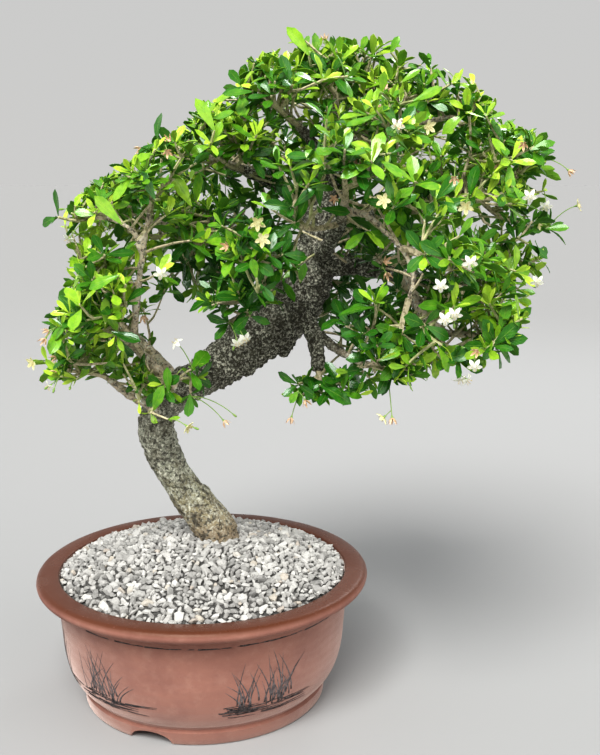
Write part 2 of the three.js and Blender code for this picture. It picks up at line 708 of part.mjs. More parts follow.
/** The twig, the side shoots, the offshoots and the rosettes of a spray. */
function planSpray(spray, index) {
  const draw = new Draw(index + 1);
  const { place: start, heading } = seatOf(spray);
  const twig = twigTo(start, heading, point(spray.tip), TWIG.radii);
  const shoots = [twig];
  SIDE_SHOOT.forks.forEach((t, k) => {
    const side = (index + k) % 2 === 0 ? 1 : -1;
    const fork = onTube(twig, t);
    const along = twig.curve.getTangentAt(t);
    const across = new THREE.Vector3().crossVectors(along, UP).normalize();
    const way = along.multiplyScalar(SIDE_SHOOT.onward);
    way.addScaledVector(across, side * draw.between(...SIDE_SHOOT.spread));
    way.addScaledVector(UP, draw.between(...SIDE_SHOOT.rise)).normalize();
    const end = fork.clone().addScaledVector(way, draw.between(...SIDE_SHOOT.length));
    shoots.push({ curve: new THREE.LineCurve3(fork, end), radii: SIDE_SHOOT.radii, steps: 1 });
  });
  for (const { at, tip } of OFFSHOOTS.filter((offshoot) => offshoot.spray === index)) {
    const fork = onTube(twig, at);
    const end = point(tip);
    shoots.push(twigTo(fork, end.clone().sub(fork).normalize(), end, OFFSHOOT.radii));
  }
  shoots.forEach((shoot, k) => {
    shoot.leaves = planRosette(shoot, BLADES[k] ?? OFFSHOOT.blades, draw);
  });
  return shoots;
}

function boxesMeet(a, b) {
  return [0, 1, 2].every((axis) => a.min[axis] <= b.max[axis] && b.min[axis] <= a.max[axis]);
}

/** Whether a solid reaches into any of the others. */
function crosses(solid, others) {
  const box = solid.boundingBox();
  return others.some((other) => boxesMeet(box, other.boundingBox()) && !solid.intersect(other).isEmpty());
}

/** A spray's shoots without their blades, grown by a margin. */
function stemSolid(shoots, margin) {
  return Manifold.union(shoots.map(({ curve, radii, steps, leaves }) => {
    const grown = radii.map((radius) => radius + margin);
    return shootSolid(curve, grown, steps, leaves.map(() => null));
  }));
}

/** The spray's solid: a blade that would cross a neighbour is swung clear, or left out. */
function spraySolid(shoots, neighbours, woodHole) {
  const blades = [];
  const pieces = shoots.map((shoot, k) => {
    const own = [];
    const leaves = shoot.leaves.map((leaf) => {
      const clear = (swing) => {
        const grown = looseBlade(leaf, swing, CLEARANCE);
        return !crosses(grown, neighbours) && !crosses(grown, blades);
      };
      const swing = SWINGS.find(clear);
      if (swing === undefined) {
        return null;
      }
      own.push(looseBlade(leaf, swing, 0));
      return bladeCorners(leaf, swing, 0);
    });
    blades.push(...own);
    const solid = shootSolid(shoot.curve, shoot.radii, shoot.steps, leaves);
    return k === 0 ? solid.subtract(woodHole) : solid;
  });
  return Manifold.union(pieces);
}

// Flowers

/** A five-lobed star, cupped a little, that looks along a heading. */
function starAt(place, heading, margin) {
  const { radius, innerRadius, thickness, lobes, cup } = FLOWER;
  const outline = new THREE.Shape();
  for (let i = 0; i < 2 * lobes; i += 1) {
    const reach = (i % 2 === 0 ? radius : innerRadius) + margin;
    const turn = (i * Math.PI) / lobes;
    outline[i === 0 ? 'moveTo' : 'lineTo'](reach * Math.cos(turn), reach * Math.sin(turn));
  }
  outline.closePath();
  const star = new THREE.ExtrudeGeometry(outline, { depth: thickness + 2 * margin, bevelEnabled: false });
  const position = star.attributes.position;
  for (let i = 0; i < position.count; i += 1) {
    const lift = cup * Math.hypot(position.getX(i), position.getY(i));
    position.setZ(i, position.getZ(i) + lift - cup * innerRadius - thickness / 2 - margin);
  }
  star.applyQuaternion(new THREE.Quaternion().setFromUnitVectors(UP, heading));
  star.translate(place.x, place.y, place.z);
  return solidOf(star);
}

/** A stalk that arches along its lean, with a star at its end and, for two flowers, one on a side stalk. */
function cymeAlong(cyme, start, lean, margin) {
  const bend = start.clone().addScaledVector(lean, CYME.bend * cyme.length);
  bend.z += CYME.rise * cyme.length;
  const end = start.clone().addScaledVector(lean, cyme.length);
  const stalk = new THREE.QuadraticBezierCurve3(start, bend, end);
  const thin = STALK.radius + margin;
  const calyx = STALK.calyxRadius + margin;
  const pieces = [solidOf(limb(stalk, [thin, thin, calyx], 4, 3))];
  pieces.push(starAt(end, stalk.getTangentAt(1), margin));
  if (cyme.flowers > 1) {
    const fork = stalk.getPointAt(STALK.fork);
    const [side] = squareTo(lean);
    const way = lean.clone().multiplyScalar(STALK.onward).addScaledVector(side, STALK.aside).normalize();
    const tip = fork.clone().addScaledVector(way, STALK.sideLength);
    pieces.push(solidOf(limb(new THREE.LineCurve3(fork, tip), [thin, calyx], 4, 1)));
    pieces.push(starAt(tip, way, margin));
  }
  return Manifold.union(pieces);
}

/** The flower stalk's solid, seated on its twig and turned until it hangs clear of the leaves. */
function cymeSolid(cyme, shoots, index, neighbours) {
  const [{ curve, radii, steps, leaves }] = shoots;
  const start = onTube(shoots[0], CYME.seat);
  const hole = shootSolid(curve, radii.map((radius) => radius + SEAT_GAP), steps, leaves.map(() => null));
  for (let attempt = 0; attempt < CYME.tries; attempt += 1) {
    const turn = (attempt % 2 === 0 ? 1 : -1) * Math.ceil(attempt / 2) * CYME.turn;
    const lean = point(cyme.lean).normalize().applyAxisAngle(UP, turn);
    const grown = cymeAlong(cyme, start, lean, CLEARANCE).subtract(hole);
    if (!crosses(grown, neighbours)) {
      return cymeAlong(cyme, start, lean, 0).subtract(hole);
    }
  }
  throw new Error(`flower stalk ${index + 1} finds no clear way`);
}

// The whole part

function buildPart() {
  const part = new THREE.Group();
  part.name = 'fukien_tea_bonsai';
  const plant = new THREE.Group();
  part.add(plant);
  const rootHole = trunkWood(CLEARANCE);
  plant.add(meshOf('pot', geometryOf(potSolid()), COLOURS.clay, 0.65));
  [-1, 1].forEach((side, i) => {
    const screen = drainScreen(side * POT.drain.offset);
    plant.add(meshOf(`drain_screen_${i + 1}`, geometryOf(screen), COLOURS.screen, 0.6));
  });
  plant.add(meshOf('soil', geometryOf(soilSolid(rootHole)), COLOURS.soil, 0.95));
  plant.add(meshOf('gravel', geometryOf(gravelSolid(rootHole)), COLOURS.gravel, 0.9));
  const wood = woodSolid();
  plant.add(meshOf('trunk', geometryOf(wood), COLOURS.bark, 0.9));
  const woodHole = woodSolid(SEAT_GAP);
  const placed = [wood];
  const plans = SPRAYS.map(planSpray);
  const stems = plans.map((plan) => stemSolid(plan, 0));
  plans.forEach((plan, i) => {
    const solid = spraySolid(plan, [...placed, ...stems.slice(i + 1)], woodHole);
    placed.push(solid);
    const name = `spray_${String(i + 1).padStart(2, '0')}`;
    plant.add(meshOf(name, geometryOf(solid), COLOURS.leaf[i % COLOURS.leaf.length], 0.4));
  });
  CYMES.forEach((cyme, i) => {
    const solid = cymeSolid(cyme, plans[cyme.spray], i, placed);
    placed.push(solid);
    const name = `flower_cyme_${String(i + 1).padStart(2, '0')}`;
    plant.add(meshOf(name, geometryOf(solid), COLOURS.flower, 0.6));
  });
  const centre = new THREE.Box3().setFromObject(plant).getCenter(new THREE.Vector3());
  plant.position.set(-centre.x, -centre.y, 0);
  return part;
}

export default buildPart();
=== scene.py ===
"""A flowering fukien tea bonsai in a round clay pot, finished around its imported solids.

The plant is worked out in millimetres with the pot's axis at x = y = 0, as its solids are, and each finished
mesh is then set into the frame in metres. The wood, the leafy sprays, the flowers, the stones and the pot
stand for their plain solids and keep their places.
"""

import logging
import math
from bisect import bisect_right
from dataclasses import dataclass, field
from enum import Enum
from functools import cached_property
from typing import Iterable, Sequence

import bmesh
import bpy
from mathutils import Matrix, Vector, noise
from mathutils.kdtree import KDTree


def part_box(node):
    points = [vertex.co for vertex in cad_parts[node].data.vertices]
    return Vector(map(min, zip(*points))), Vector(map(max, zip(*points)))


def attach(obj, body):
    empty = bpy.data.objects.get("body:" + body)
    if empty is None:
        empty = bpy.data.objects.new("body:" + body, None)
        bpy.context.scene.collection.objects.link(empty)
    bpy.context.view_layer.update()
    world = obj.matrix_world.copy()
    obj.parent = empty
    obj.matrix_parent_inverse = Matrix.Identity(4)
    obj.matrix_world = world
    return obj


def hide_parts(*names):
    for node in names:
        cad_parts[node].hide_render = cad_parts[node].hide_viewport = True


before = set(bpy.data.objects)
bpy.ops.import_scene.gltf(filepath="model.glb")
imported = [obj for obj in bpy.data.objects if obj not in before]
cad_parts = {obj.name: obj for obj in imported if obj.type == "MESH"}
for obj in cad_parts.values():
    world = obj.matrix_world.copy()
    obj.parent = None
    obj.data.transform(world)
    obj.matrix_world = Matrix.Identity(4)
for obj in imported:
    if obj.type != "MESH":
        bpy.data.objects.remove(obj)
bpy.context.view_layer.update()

LOG = logging.getLogger("bonsai")

Point = tuple[float, float, float]
Colour = tuple[float, float, float]
Span = tuple[float, float]
Shape = bmesh.types.BMesh
Socket = bpy.types.NodeSocket
Dressing = dict[str, bpy.types.Material]

MM = 0.001
UP = Vector((0, 0, 1))
GOLDEN_TURN = math.pi * (3 - math.sqrt(5))
ABOUT_Z = {"axis": (0, 0, 1), "cent": (0, 0, 0)}

# The plant's skeleton, the same points as in the solids, a little slimmer near the ground

TRUNK_ROUTE: list[Point] = [
    (12, 18, 76), (11, 18, 100), (9, 18, 119), (-3, 18, 138), (-17, 17, 158), (-28, 15, 178), (-34, 12, 196),
    (-35, 10, 213), (-27, 8, 229), (-12, 5, 241), (7, 2, 251), (26, 0, 265), (43, 0, 281), (60, 0, 294),
    (76, 0, 311), (85, 0, 333), (88, 0, 356), (90, 2, 379), (93, 4, 402), (97, 5, 430), (101, 3, 452),
]
TRUNK_RADII = (
    12, 16.4, 16.9, 14.8, 13.3, 13.2, 13.9, 13.8, 13.5, 14, 16, 19.5, 22, 20.5, 17, 14, 12, 10.5, 8.5, 5, 3,
)


@dataclass(frozen=True)
class Branch:
    """A branch: the points of its route, the first inside the wood that bears it, and its end radii."""

    route: Sequence[Point]
    radii: tuple[float, float]


BRANCHES: dict[str, Branch] = {
    "lowLeft": Branch([(-28, 8, 222), (-38, -5, 229), (-50, -20, 239), (-63, -34, 254)], (5.5, 3)),
    "tanLeft": Branch([(-14, 5, 238), (-30, -20, 258), (-45, -38, 280), (-57, -50, 291)], (5.5, 2.8)),
    "tanUpright": Branch(
        [(-45, -38, 280), (-40, -48, 300), (-36, -54, 322), (-32, -58, 345), (-26, -60, 374)], (3.6, 2.6)
    ),
    "tanSide": Branch([(-32, -58, 348), (-38, -60, 360), (-48, -60, 367), (-58, -60, 370)], (3, 2.4)),
    "backLeft": Branch([(-14, 5, 238), (-30, 28, 252), (-48, 46, 266), (-62, 58, 276)], (5.5, 2.8)),
    "darkLeft": Branch([(86, 0, 336), (58, 5, 345), (28, 9, 351), (-6, 12, 356), (-38, 14, 366)], (7.5, 3)),
    "highLeft": Branch([(89, 1, 372), (62, 6, 388), (36, 4, 400), (8, 0, 411)], (7, 2.8)),
    "topLeft": Branch([(93, 4, 400), (84, 0, 420), (70, -2, 436), (54, -2, 448)], (5.5, 2.6)),
    "topRight": Branch([(93, 4, 400), (114, 2, 420), (132, 0, 438), (148, -4, 452)], (6.5, 2.8)),
    "farRight": Branch([(122, -2, 429), (145, -6, 432), (168, -10, 435), (182, -12, 438)], (4, 2.6)),
    "right": Branch(
        [(88, 0, 356), (122, -4, 370), (160, -8, 382), (198, -10, 390), (222, -10, 394)], (8.5, 2.8)
    ),
    "lowRight": Branch(
        [(85, 0, 330), (114, -18, 333), (150, -34, 327), (186, -38, 324), (212, -32, 324)], (7.5, 2.8)
    ),
    "front": Branch([(86, 0, 338), (94, -28, 348), (102, -58, 364), (104, -92, 384)], (7, 2.8)),
    "frontTan": Branch(
        [
            (103, -74, 373), (117, -88, 373), (129, -96, 363),
            (142, -100, 349), (148, -100, 332), (145, -100, 318),
        ],
        (3.2, 2.4),
    ),
    "frontLeft": Branch([(70, 0, 303), (62, -28, 316), (56, -56, 328), (53, -84, 338)], (6, 2.8)),
    "mossStub": Branch([(72, 0, 300), (82, -18, 290), (87, -30, 275), (88, -38, 260)], (7.5, 5)),
    "frontLow": Branch([(82, -18, 289), (100, -44, 278), (116, -66, 272), (126, -78, 271)], (5, 2.6)),
    "cutBranch": Branch([(150, -34, 327), (158, -58, 306), (172, -76, 294), (188, -86, 294)], (5, 3)),
    "backHigh": Branch([(89, 1, 374), (84, 34, 388), (74, 66, 402), (64, 92, 410)], (7, 2.8)),
    "backRight": Branch([(90, 2, 380), (112, 36, 392), (134, 68, 400), (150, 94, 404)], (7, 2.8)),
    "backLow": Branch([(84, 0, 328), (100, 34, 332), (120, 68, 332), (138, 96, 328)], (7, 2.8)),
    "backInner": Branch([(72, 0, 306), (52, 32, 322), (30, 60, 334), (10, 82, 342)], (7, 2.8)),
    "rightBack": Branch([(160, -8, 382), (184, 24, 388), (204, 52, 390)], (4.5, 2.6)),
    "crownBack": Branch([(94, 4, 410), (98, 24, 430), (102, 42, 446)], (5, 2.6)),
}


@dataclass(frozen=True)
class Seat:
    """Where a twig grows: the branch that bears it, how far along it, and where the twig ends."""

    on: str
    at: float
    tip: Point


SPRAYS = [Seat(*row) for row in (
    ("lowLeft", 1, (-90, -44, 262)), ("tanLeft", 1, (-88, -58, 296)), ("tanLeft", 0.62, (-58, -76, 312)),
    ("tanLeft", 0.3, (-21, -44, 250)), ("backLeft", 1, (-95, 74, 288)), ("backLeft", 0.6, (-88, 22, 276)),
    ("tanSide", 1, (-74, -52, 368)), ("tanUpright", 1, (-24, -68, 392)),
    ("tanUpright", 0.35, (-63, -62, 336)), ("darkLeft", 1, (-71, 18, 379)),
    ("darkLeft", 0.6, (0, -38, 352)), ("darkLeft", 0.8, (-56, 62, 352)), ("highLeft", 1, (-24, 0, 415)),
    ("highLeft", 0.7, (17, -48, 413)), ("highLeft", 0.6, (2, 48, 428)), ("topLeft", 1, (36, 0, 450)),
    ("topLeft", 0.6, (56, -50, 450)), ("trunk", 1, (88, -4, 468)), ("topRight", 0.7, (124, 24, 464)),
    ("topRight", 1, (158, -5, 448)), ("farRight", 1, (198, -15, 426)), ("right", 1, (234, -10, 399)),
    ("right", 0.82, (248, 10, 362)), ("lowRight", 1, (232, -20, 328)), ("lowRight", 0.8, (210, -62, 294)),
    ("front", 1, (102, -125, 402)), ("front", 0.66, (72, -100, 368)), ("frontTan", 1, (140, -110, 298)),
    ("frontTan", 0.6, (170, -122, 340)), ("frontLeft", 1, (47, -112, 344)),
    ("frontLeft", 0.55, (27, -72, 300)), ("frontLow", 1, (134, -94, 272)), ("mossStub", 1, (90, -48, 254)),
    ("cutBranch", 1, (204, -94, 288)), ("cutBranch", 0.6, (178, -104, 282)),
    ("right", 0.42, (160, -106, 382)), ("topRight", 0.45, (137, -88, 428)),
    ("right", 0.66, (207, -80, 386)), ("backHigh", 1, (48, 122, 420)), ("backRight", 1, (162, 124, 412)),
    ("backLow", 1, (150, 128, 322)), ("backInner", 1, (-14, 106, 350)), ("rightBack", 1, (230, 80, 392)),
    ("crownBack", 1, (104, 72, 462)),
)]


@dataclass(frozen=True)
class Offshoot:
    """A longer shoot: the spray that bears it, counted from 0, how far along its twig, and where it ends."""

    spray: int
    at: float
    tip: Point


OFFSHOOTS = [Offshoot(*row) for row in (
    (38, 0.3, (22, 82, 404)), (38, 0.4, (84, 122, 398)), (39, 0.3, (118, 112, 428)),
    (39, 0.3, (192, 96, 402)), (40, 0.3, (104, 118, 350)), (40, 0.3, (184, 96, 344)),
    (41, 0.3, (30, 112, 372)), (41, 0.3, (-24, 68, 330)), (42, 0.3, (206, 62, 424)),
    (42, 0.3, (226, 66, 358)), (43, 0.3, (70, 60, 452)), (43, 0.3, (142, 62, 446)),
    (11, 0.5, (-20, 46, 386)), (14, 0.5, (34, 44, 446)), (5, 0.3, (-56, 48, 306)),
    (35, 0.5, (128, -58, 404)), (37, 0.4, (192, -42, 412)), (24, 0.25, (208, -48, 352)),
    (9, 0.3, (-42, -16, 394)), (34, 0.3, (136, -62, 308)), (31, 0.3, (104, -68, 302)),
)]

# The crown's edge and the gaps that show through it, as seen from the camera on the plane y = 0

CROWN_EDGE = [
    (-127, 261), (-104, 307), (-94, 332), (-102, 372), (-74, 394), (-33, 419), (-8, 435), (6, 450), (24, 454),
    (34, 474), (68, 495), (142, 492), (196, 470), (230, 435), (262, 421), (281, 375), (270, 345), (257, 330),
    (252, 300), (235, 276), (209, 252), (165, 246), (139, 232), (100, 228), (71, 229), (46, 246), (19, 240),
    (-1, 225), (-20, 207), (-45, 215), (-61, 231), (-94, 240), (-117, 244),
]
CROWN_GAPS = [
    [(-37, 290), (-18, 303), (11, 297), (14, 276), (-8, 256), (-30, 262)],
    [(40, 262), (60, 271), (76, 266), (76, 252), (60, 234), (40, 228)],
]

# Where the burl and the stem show, and up to what depth leaves keep clear of the gaps and of these

CLEARINGS = [
    [(4, 238), (6, 262), (30, 292), (52, 300), (74, 304), (98, 300), (96, 262), (70, 246), (40, 240)],
    [(72, 300), (74, 384), (100, 388), (104, 322), (98, 300)],
]
GAPS_REACH = 60
CLEARINGS_REACH = 12

# The tan branches, the others that show, and how wide a strip the leaves leave free there

TAN_BRANCHES = ("lowLeft", "tanLeft", "tanUpright", "tanSide", "backLeft", "frontTan", "cutBranch")
SHOWN_BRANCHES = (*TAN_BRANCHES, "mossStub", "frontLow")
SHOWN_REACH = 7.0

# The crown from front to back, where it grows from, its middle, its reach and how much of it is deep

CROWN_DEPTH = (-148, 158)
CROWN_HEART = Vector((90, 10, 330))
CROWN_MIDDLE = Vector((85, 5, 350))
CROWN_REACH = Vector((190, 145, 140))
DEEP_SHARE = 0.72

# The camera's place and the way it looks, set by the pot's rim and foot

EYE = Vector((75, -775, 400))
EYE_TILT = math.radians(11.1)
EYE_LENS = 50.07


def pot_axis() -> Vector:
    """The middle of the pot on the table, in the frame."""
    low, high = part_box("pot")
    return Vector(((low.x + high.x) / 2, (low.y + high.y) / 2, 0.0))


TO_FRAME = Matrix.Translation(pot_axis()) @ Matrix.Scale(MM, 4)


class Draw:
    """A seeded stream of numbers from 0 to 1, drawn by the rule that the solids use."""

    def __init__(self, seed: int) -> None:
        """Start the stream.

        Args:
            seed: the whole number that names the stream.
        """
        self.state = (seed * 7919 + 12345) % 2**32
        self.next()
        self.next()

    def next(self) -> float:
        """The next number, from 0 up to 1."""
        self.state = (self.state * 1664525 + 1013904223) % 2**32
        return self.state / 2**32

    def between(self, low: float, high: float) -> float:
        """A number between two limits."""
        return low + (high - low) * self.next()

    def about(self, middle: float, reach: float) -> float:
        """A number near a middle one."""
        return self.between(middle - reach, middle + reach)

    def heading(self) -> Vector:
        """A unit vector that points anywhere.

        Returns:
            The vector.
        """
        height = self.about(0, 1)
        turn = self.between(0, 2 * math.pi)
        flat = math.sqrt(1 - height * height)
        return Vector((flat * math.cos(turn), flat * math.sin(turn), height))


def mix(low: float, high: float, share: float) -> float:
    """The number that lies a share of the way from one to another."""
    return low + (high - low) * share


def read_off(values: Sequence[float], share: float) -> float:
    """A value read off a list of evenly spaced ones.

    Args:
        values: the listed values.
        share: how far along the list, from 0 to 1.

    Returns:
        The value there, by straight lines between the listed ones.
    """
    place = min(max(share, 0.0), 1.0) * (len(values) - 1)
    low = min(int(place), len(values) - 2)
    return mix(values[low], values[low + 1], place - low)


def smooth_step(share: float) -> float:
    """A share from 0 to 1 with soft ends."""
    clipped = min(max(share, 0.0), 1.0)
    return clipped * clipped * (3 - 2 * clipped)


def inside(outline: Sequence[tuple[float, float]], x: float, z: float) -> bool:
    """Whether a place lies inside a closed outline.

    Args:
        outline: the outline's corners, in order.
        x: the place's distance to the right.
        z: the place's height.

    Returns:
        True inside the outline.
    """
    crossings = 0
    for (ax, az), (bx, bz) in zip(outline, [*outline[1:], outline[0]]):
        if (az > z) != (bz > z) and x < ax + (z - az) * (bx - ax) / (bz - az):
            crossings += 1
    return crossings % 2 == 1


def seen_from_camera(place: Vector) -> tuple[float, float]:
    """Where the camera sees a place of the plant: how far right and how high on the plane y = 0."""
    spot = EYE + (place - EYE) * (-EYE.y / (place.y - EYE.y))
    return spot.x, spot.z


def at_depth(x: float, z: float, depth: float) -> Vector:
    """The point at a depth that the camera sees at a place of the plane y = 0."""
    return EYE + (Vector((x, 0, z)) - EYE) * ((depth - EYE.y) / -EYE.y)


def belongs_to_crown(place: Vector) -> bool:
    """Whether a leaf may grow at a place: within the crown's edge, and clear of its gaps and the shown wood.

    Args:
        place: a point of the plant.

    Returns:
        True where it may grow.
    """
    x, z = seen_from_camera(place)
    if not CROWN_DEPTH[0] < place.y < CROWN_DEPTH[1] or not inside(CROWN_EDGE, x, z):
        return False
    if place.y > GAPS_REACH:
        return True
    gaps = [*CROWN_GAPS, *CLEARINGS] if place.y < CLEARINGS_REACH else CROWN_GAPS
    if any(inside(gap, x, z) for gap in gaps):
        return False
    return not any(place.y < depth and math.dist(spot, (x, z)) < SHOWN_REACH for spot, depth in SHOWN_WOOD)


def lies_deep(place: Vector) -> bool:
    """Whether a place lies deep in the crown, behind its outer leaves."""
    away = place - CROWN_MIDDLE
    return Vector(away[i] / CROWN_REACH[i] for i in range(3)).length < DEEP_SHARE


# Lines through space


@dataclass
class Course:
    """A smooth line, as evenly numbered points that are read off by the length along them."""

    points: list[Vector]
    marks: list[float] = field(init=False)

    def __post_init__(self) -> None:
        """Measure the line."""
        self.marks = [0.0]
        for before, after in zip(self.points, self.points[1:]):
            self.marks.append(self.marks[-1] + (after - before).length)

    @classmethod
    def through(cls, route: Sequence[Point]) -> "Course":
        """A smooth line through a route's points.

        Args:
            route: the points, in order.

        Returns:
            The line, rounded at each point by how far apart its neighbours lie.
        """
        knots = [Vector(spot) for spot in route]
        knots.insert(0, knots[0] * 2 - knots[1])
        knots.append(knots[-1] * 2 - knots[-2])
        divisions = 200
        spans = len(knots) - 3
        points = []
        for i in range(divisions + 1):
            place = i / divisions * spans
            span = min(int(place), spans - 1)
            points.append(cls._knot_curve(*knots[span : span + 4], place - span))
        return cls(points)

    @staticmethod
    def _knot_curve(before: Vector, start: Vector, end: Vector, after: Vector, share: float) -> Vector:
        """A point between two knots of a line, steered by the knots on either side.

        Args:
            before: the knot before the stretch.
            start: the knot where the stretch starts.
            end: the knot where it ends.
            after: the knot after it.
            share: how far along the stretch, from 0 to 1.

        Returns:
            The point.
        """
        gap_before = max((start - before).length ** 0.5, 1e-4)
        gap = max((end - start).length ** 0.5, 1e-4)
        gap_after = max((after - end).length ** 0.5, 1e-4)
        leave = (start - before) / gap_before - (end - before) / (gap_before + gap) + (end - start) / gap
        arrive = (end - start) / gap - (after - start) / (gap + gap_after) + (after - end) / gap_after
        leave, arrive = leave * gap, arrive * gap
        square = (end - start) * 3 - leave * 2 - arrive
        cube = (start - end) * 2 + leave + arrive
        return start + leave * share + square * share**2 + cube * share**3

    @classmethod
    def bend(cls, start: Vector, leave: Vector, arrive: Vector, end: Vector, divisions: int = 60) -> "Course":
        """A curve between two points that is pulled by two others on its way.

        Args:
            start: where it starts.
            leave: the point that it sets out towards.
            arrive: the point that it arrives from.
            end: where it ends.
            divisions: how many stretches it is kept in.

        Returns:
            The line.
        """
        points = []
        for i in range(divisions + 1):
            share = i / divisions
            rest = 1 - share
            first = start * rest**3 + leave * (3 * rest * rest * share)
            points.append(first + arrive * (3 * rest * share * share) + end * share**3)
        return cls(points)

    @property
    def end(self) -> Vector:
        """The line's last point."""
        return self.points[-1]

    def _find(self, share: float) -> tuple[int, float]:
        """The stretch that holds a share of the length.

        Args:
            share: how far along the line, from 0 to 1.

        Returns:
            The stretch's number, and how far along that stretch.
        """
        target = min(max(share, 0.0), 1.0) * self.marks[-1]
        index = min(bisect_right(self.marks, target) - 1, len(self.marks) - 2)
        start, end = self.marks[index : index + 2]
        return index, (target - start) / max(end - start, 1e-9)

    def point_at(self, share: float) -> Vector:
        """The point at a share of the line's length."""
        index, part = self._find(share)
        return self.points[index].lerp(self.points[index + 1], part)

    def heading_at(self, share: float) -> Vector:
        """The way the line runs at a share of its length."""
        index, _ = self._find(share)
        return (self.points[index + 1] - self.points[index]).normalized()

    def frames(self, steps: int) -> list[Matrix]:
        """Frames along the line that turn as little as they can.

        Args:
            steps: the number of equal stretches between the frames.

        Returns:
            A matrix at each end of a stretch. Its third axis runs along the line.
        """
        headings = [self.heading_at(i / steps) for i in range(steps + 1)]
        axis = min(range(3), key=lambda k: (abs(headings[0][k]), -k))
        reference = Vector([float(k == axis) for k in range(3)])
        across = headings[0].cross(reference).normalized()
        normal = headings[0].cross(across)
        frames = []
        for i, heading in enumerate(headings):
            if i:
                normal = headings[i - 1].rotation_difference(heading) @ normal
            side = heading.cross(normal)
            place = self.point_at(i / steps)
            frames.append(Matrix((normal, side, heading)).transposed().to_4x4())
            frames[-1].translation = place
        return frames


WOOD_LINES: dict[str, Course] = {"trunk": Course.through(TRUNK_ROUTE)}
WOOD_LINES |= {name: Course.through(branch.route) for name, branch in BRANCHES.items()}
SHOWN_WOOD = [
    (seen_from_camera(spot), spot.y)
    for name in SHOWN_BRANCHES
    for spot in (WOOD_LINES[name].point_at(i / 12) for i in range(13))
]


# Mesh work


def add_tube(mesh: Shape, course: Course, radii: Sequence[float], sides: int, steps: int) -> None:
    """Grow a closed round tube along a line.

    Args:
        mesh: the mesh that gets the tube.
        course: the line.
        radii: the tube's radii, evenly spaced along it.
        sides: the number of sides.
        steps: the number of stretches along the line.
    """
    sizes = [Matrix.Scale(read_off(radii, i / steps), 4) for i in range(steps + 1)]
    places = [spot @ size for spot, size in zip(course.frames(steps), sizes)]
    ring = bmesh.ops.create_circle(mesh, cap_ends=True, radius=1.0, segments=sides, matrix=places[0])
    face = ring["verts"][0].link_faces[0]
    for before, after in zip(places, places[1:]):
        grown = bmesh.ops.extrude_face_region(mesh, geom=[face])["geom"]
        face = next(item for item in grown if isinstance(item, bmesh.types.BMFace))
        corners = [item for item in grown if isinstance(item, bmesh.types.BMVert)]
        bmesh.ops.transform(mesh, matrix=after @ before.inverted(), verts=corners)


def add_cone(mesh: Shape, place: Matrix, sides: int, foot: float, head: float, depth: float) -> None:
    """Add a closed cone: where its middle lies, its sides, its radii at the foot and the head, its depth."""
    bmesh.ops.create_cone(
        mesh, cap_ends=True, segments=sides, radius1=foot, radius2=head, depth=depth, matrix=place
    )


def add_copy(mesh: Shape, pattern: bpy.types.Mesh, place: Matrix, tone: float) -> None:
    """Add a copy of a small mesh.

    Args:
        mesh: the mesh that gets the copy.
        pattern: the small mesh.
        place: where the copy goes.
        tone: the number that its material reads as its tone.
    """
    copy = pattern.copy()
    copy.transform(place)
    copy.attributes["tone"].data.foreach_set("value", [tone] * len(copy.vertices))
    mesh.from_mesh(copy)
    bpy.data.meshes.remove(copy)


def mesh_of(name: str, shape: Shape, crease: float | None = None, smooth: bool = True) -> bpy.types.Mesh:
    """Turn a working mesh into a mesh of its own.

    Args:
        name: the mesh's name.
        shape: the working mesh, which is freed.
        crease: the angle in degrees past which an edge stays sharp, or None for none.
        smooth: whether its faces are shaded smooth.

    Returns:
        The mesh.
    """
    for face in shape.faces:
        face.smooth = smooth
    data = bpy.data.meshes.new(name)
    shape.to_mesh(data)
    shape.free()
    if crease is not None:
        data.set_sharp_from_angle(angle=math.radians(crease))
    return data


def set_in_frame(
    name: str,
    data: bpy.types.Mesh,
    materials: Iterable[bpy.types.Material],
    nodes: Sequence[str] = (),
) -> None:
    """Make a finished piece of a mesh worked out in millimetres, and give it its place in the frame.

    Args:
        name: the piece's name.
        data: its mesh, about the pot's axis.
        materials: its materials, in the order of the faces' numbers.
        nodes: the plain solids that it stands for.
    """
    data.transform(TO_FRAME)
    for material in materials:
        data.materials.append(material)
    piece = bpy.data.objects.new(name, data)
    bpy.context.scene.collection.objects.link(piece)
    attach(piece, "root")
    if nodes:
        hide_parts(*nodes)
    LOG.info("%s: %d faces", name, len(data.polygons))


def finished_copy(data: bpy.types.Mesh, modifiers: Sequence[tuple[str, dict]]) -> bpy.types.Mesh:
    """Run a mesh through modifiers and keep what comes out.

    Args:
        data: the mesh, which is removed.
        modifiers: each modifier's kind and its settings.

    Returns:
        The mesh that the modifiers make.
    """
    worker = bpy.data.objects.new("worker", data)
    bpy.context.scene.collection.objects.link(worker)
    for kind, settings in modifiers:
        modifier = worker.modifiers.new(kind.title(), kind)
        for key, value in settings.items():
            setattr(modifier, key, value)
    graph = bpy.context.evaluated_depsgraph_get()
    made = bpy.data.meshes.new_from_object(worker.evaluated_get(graph))
    bpy.data.objects.remove(worker)
    bpy.data.meshes.remove(data)
    return made


# Shaders


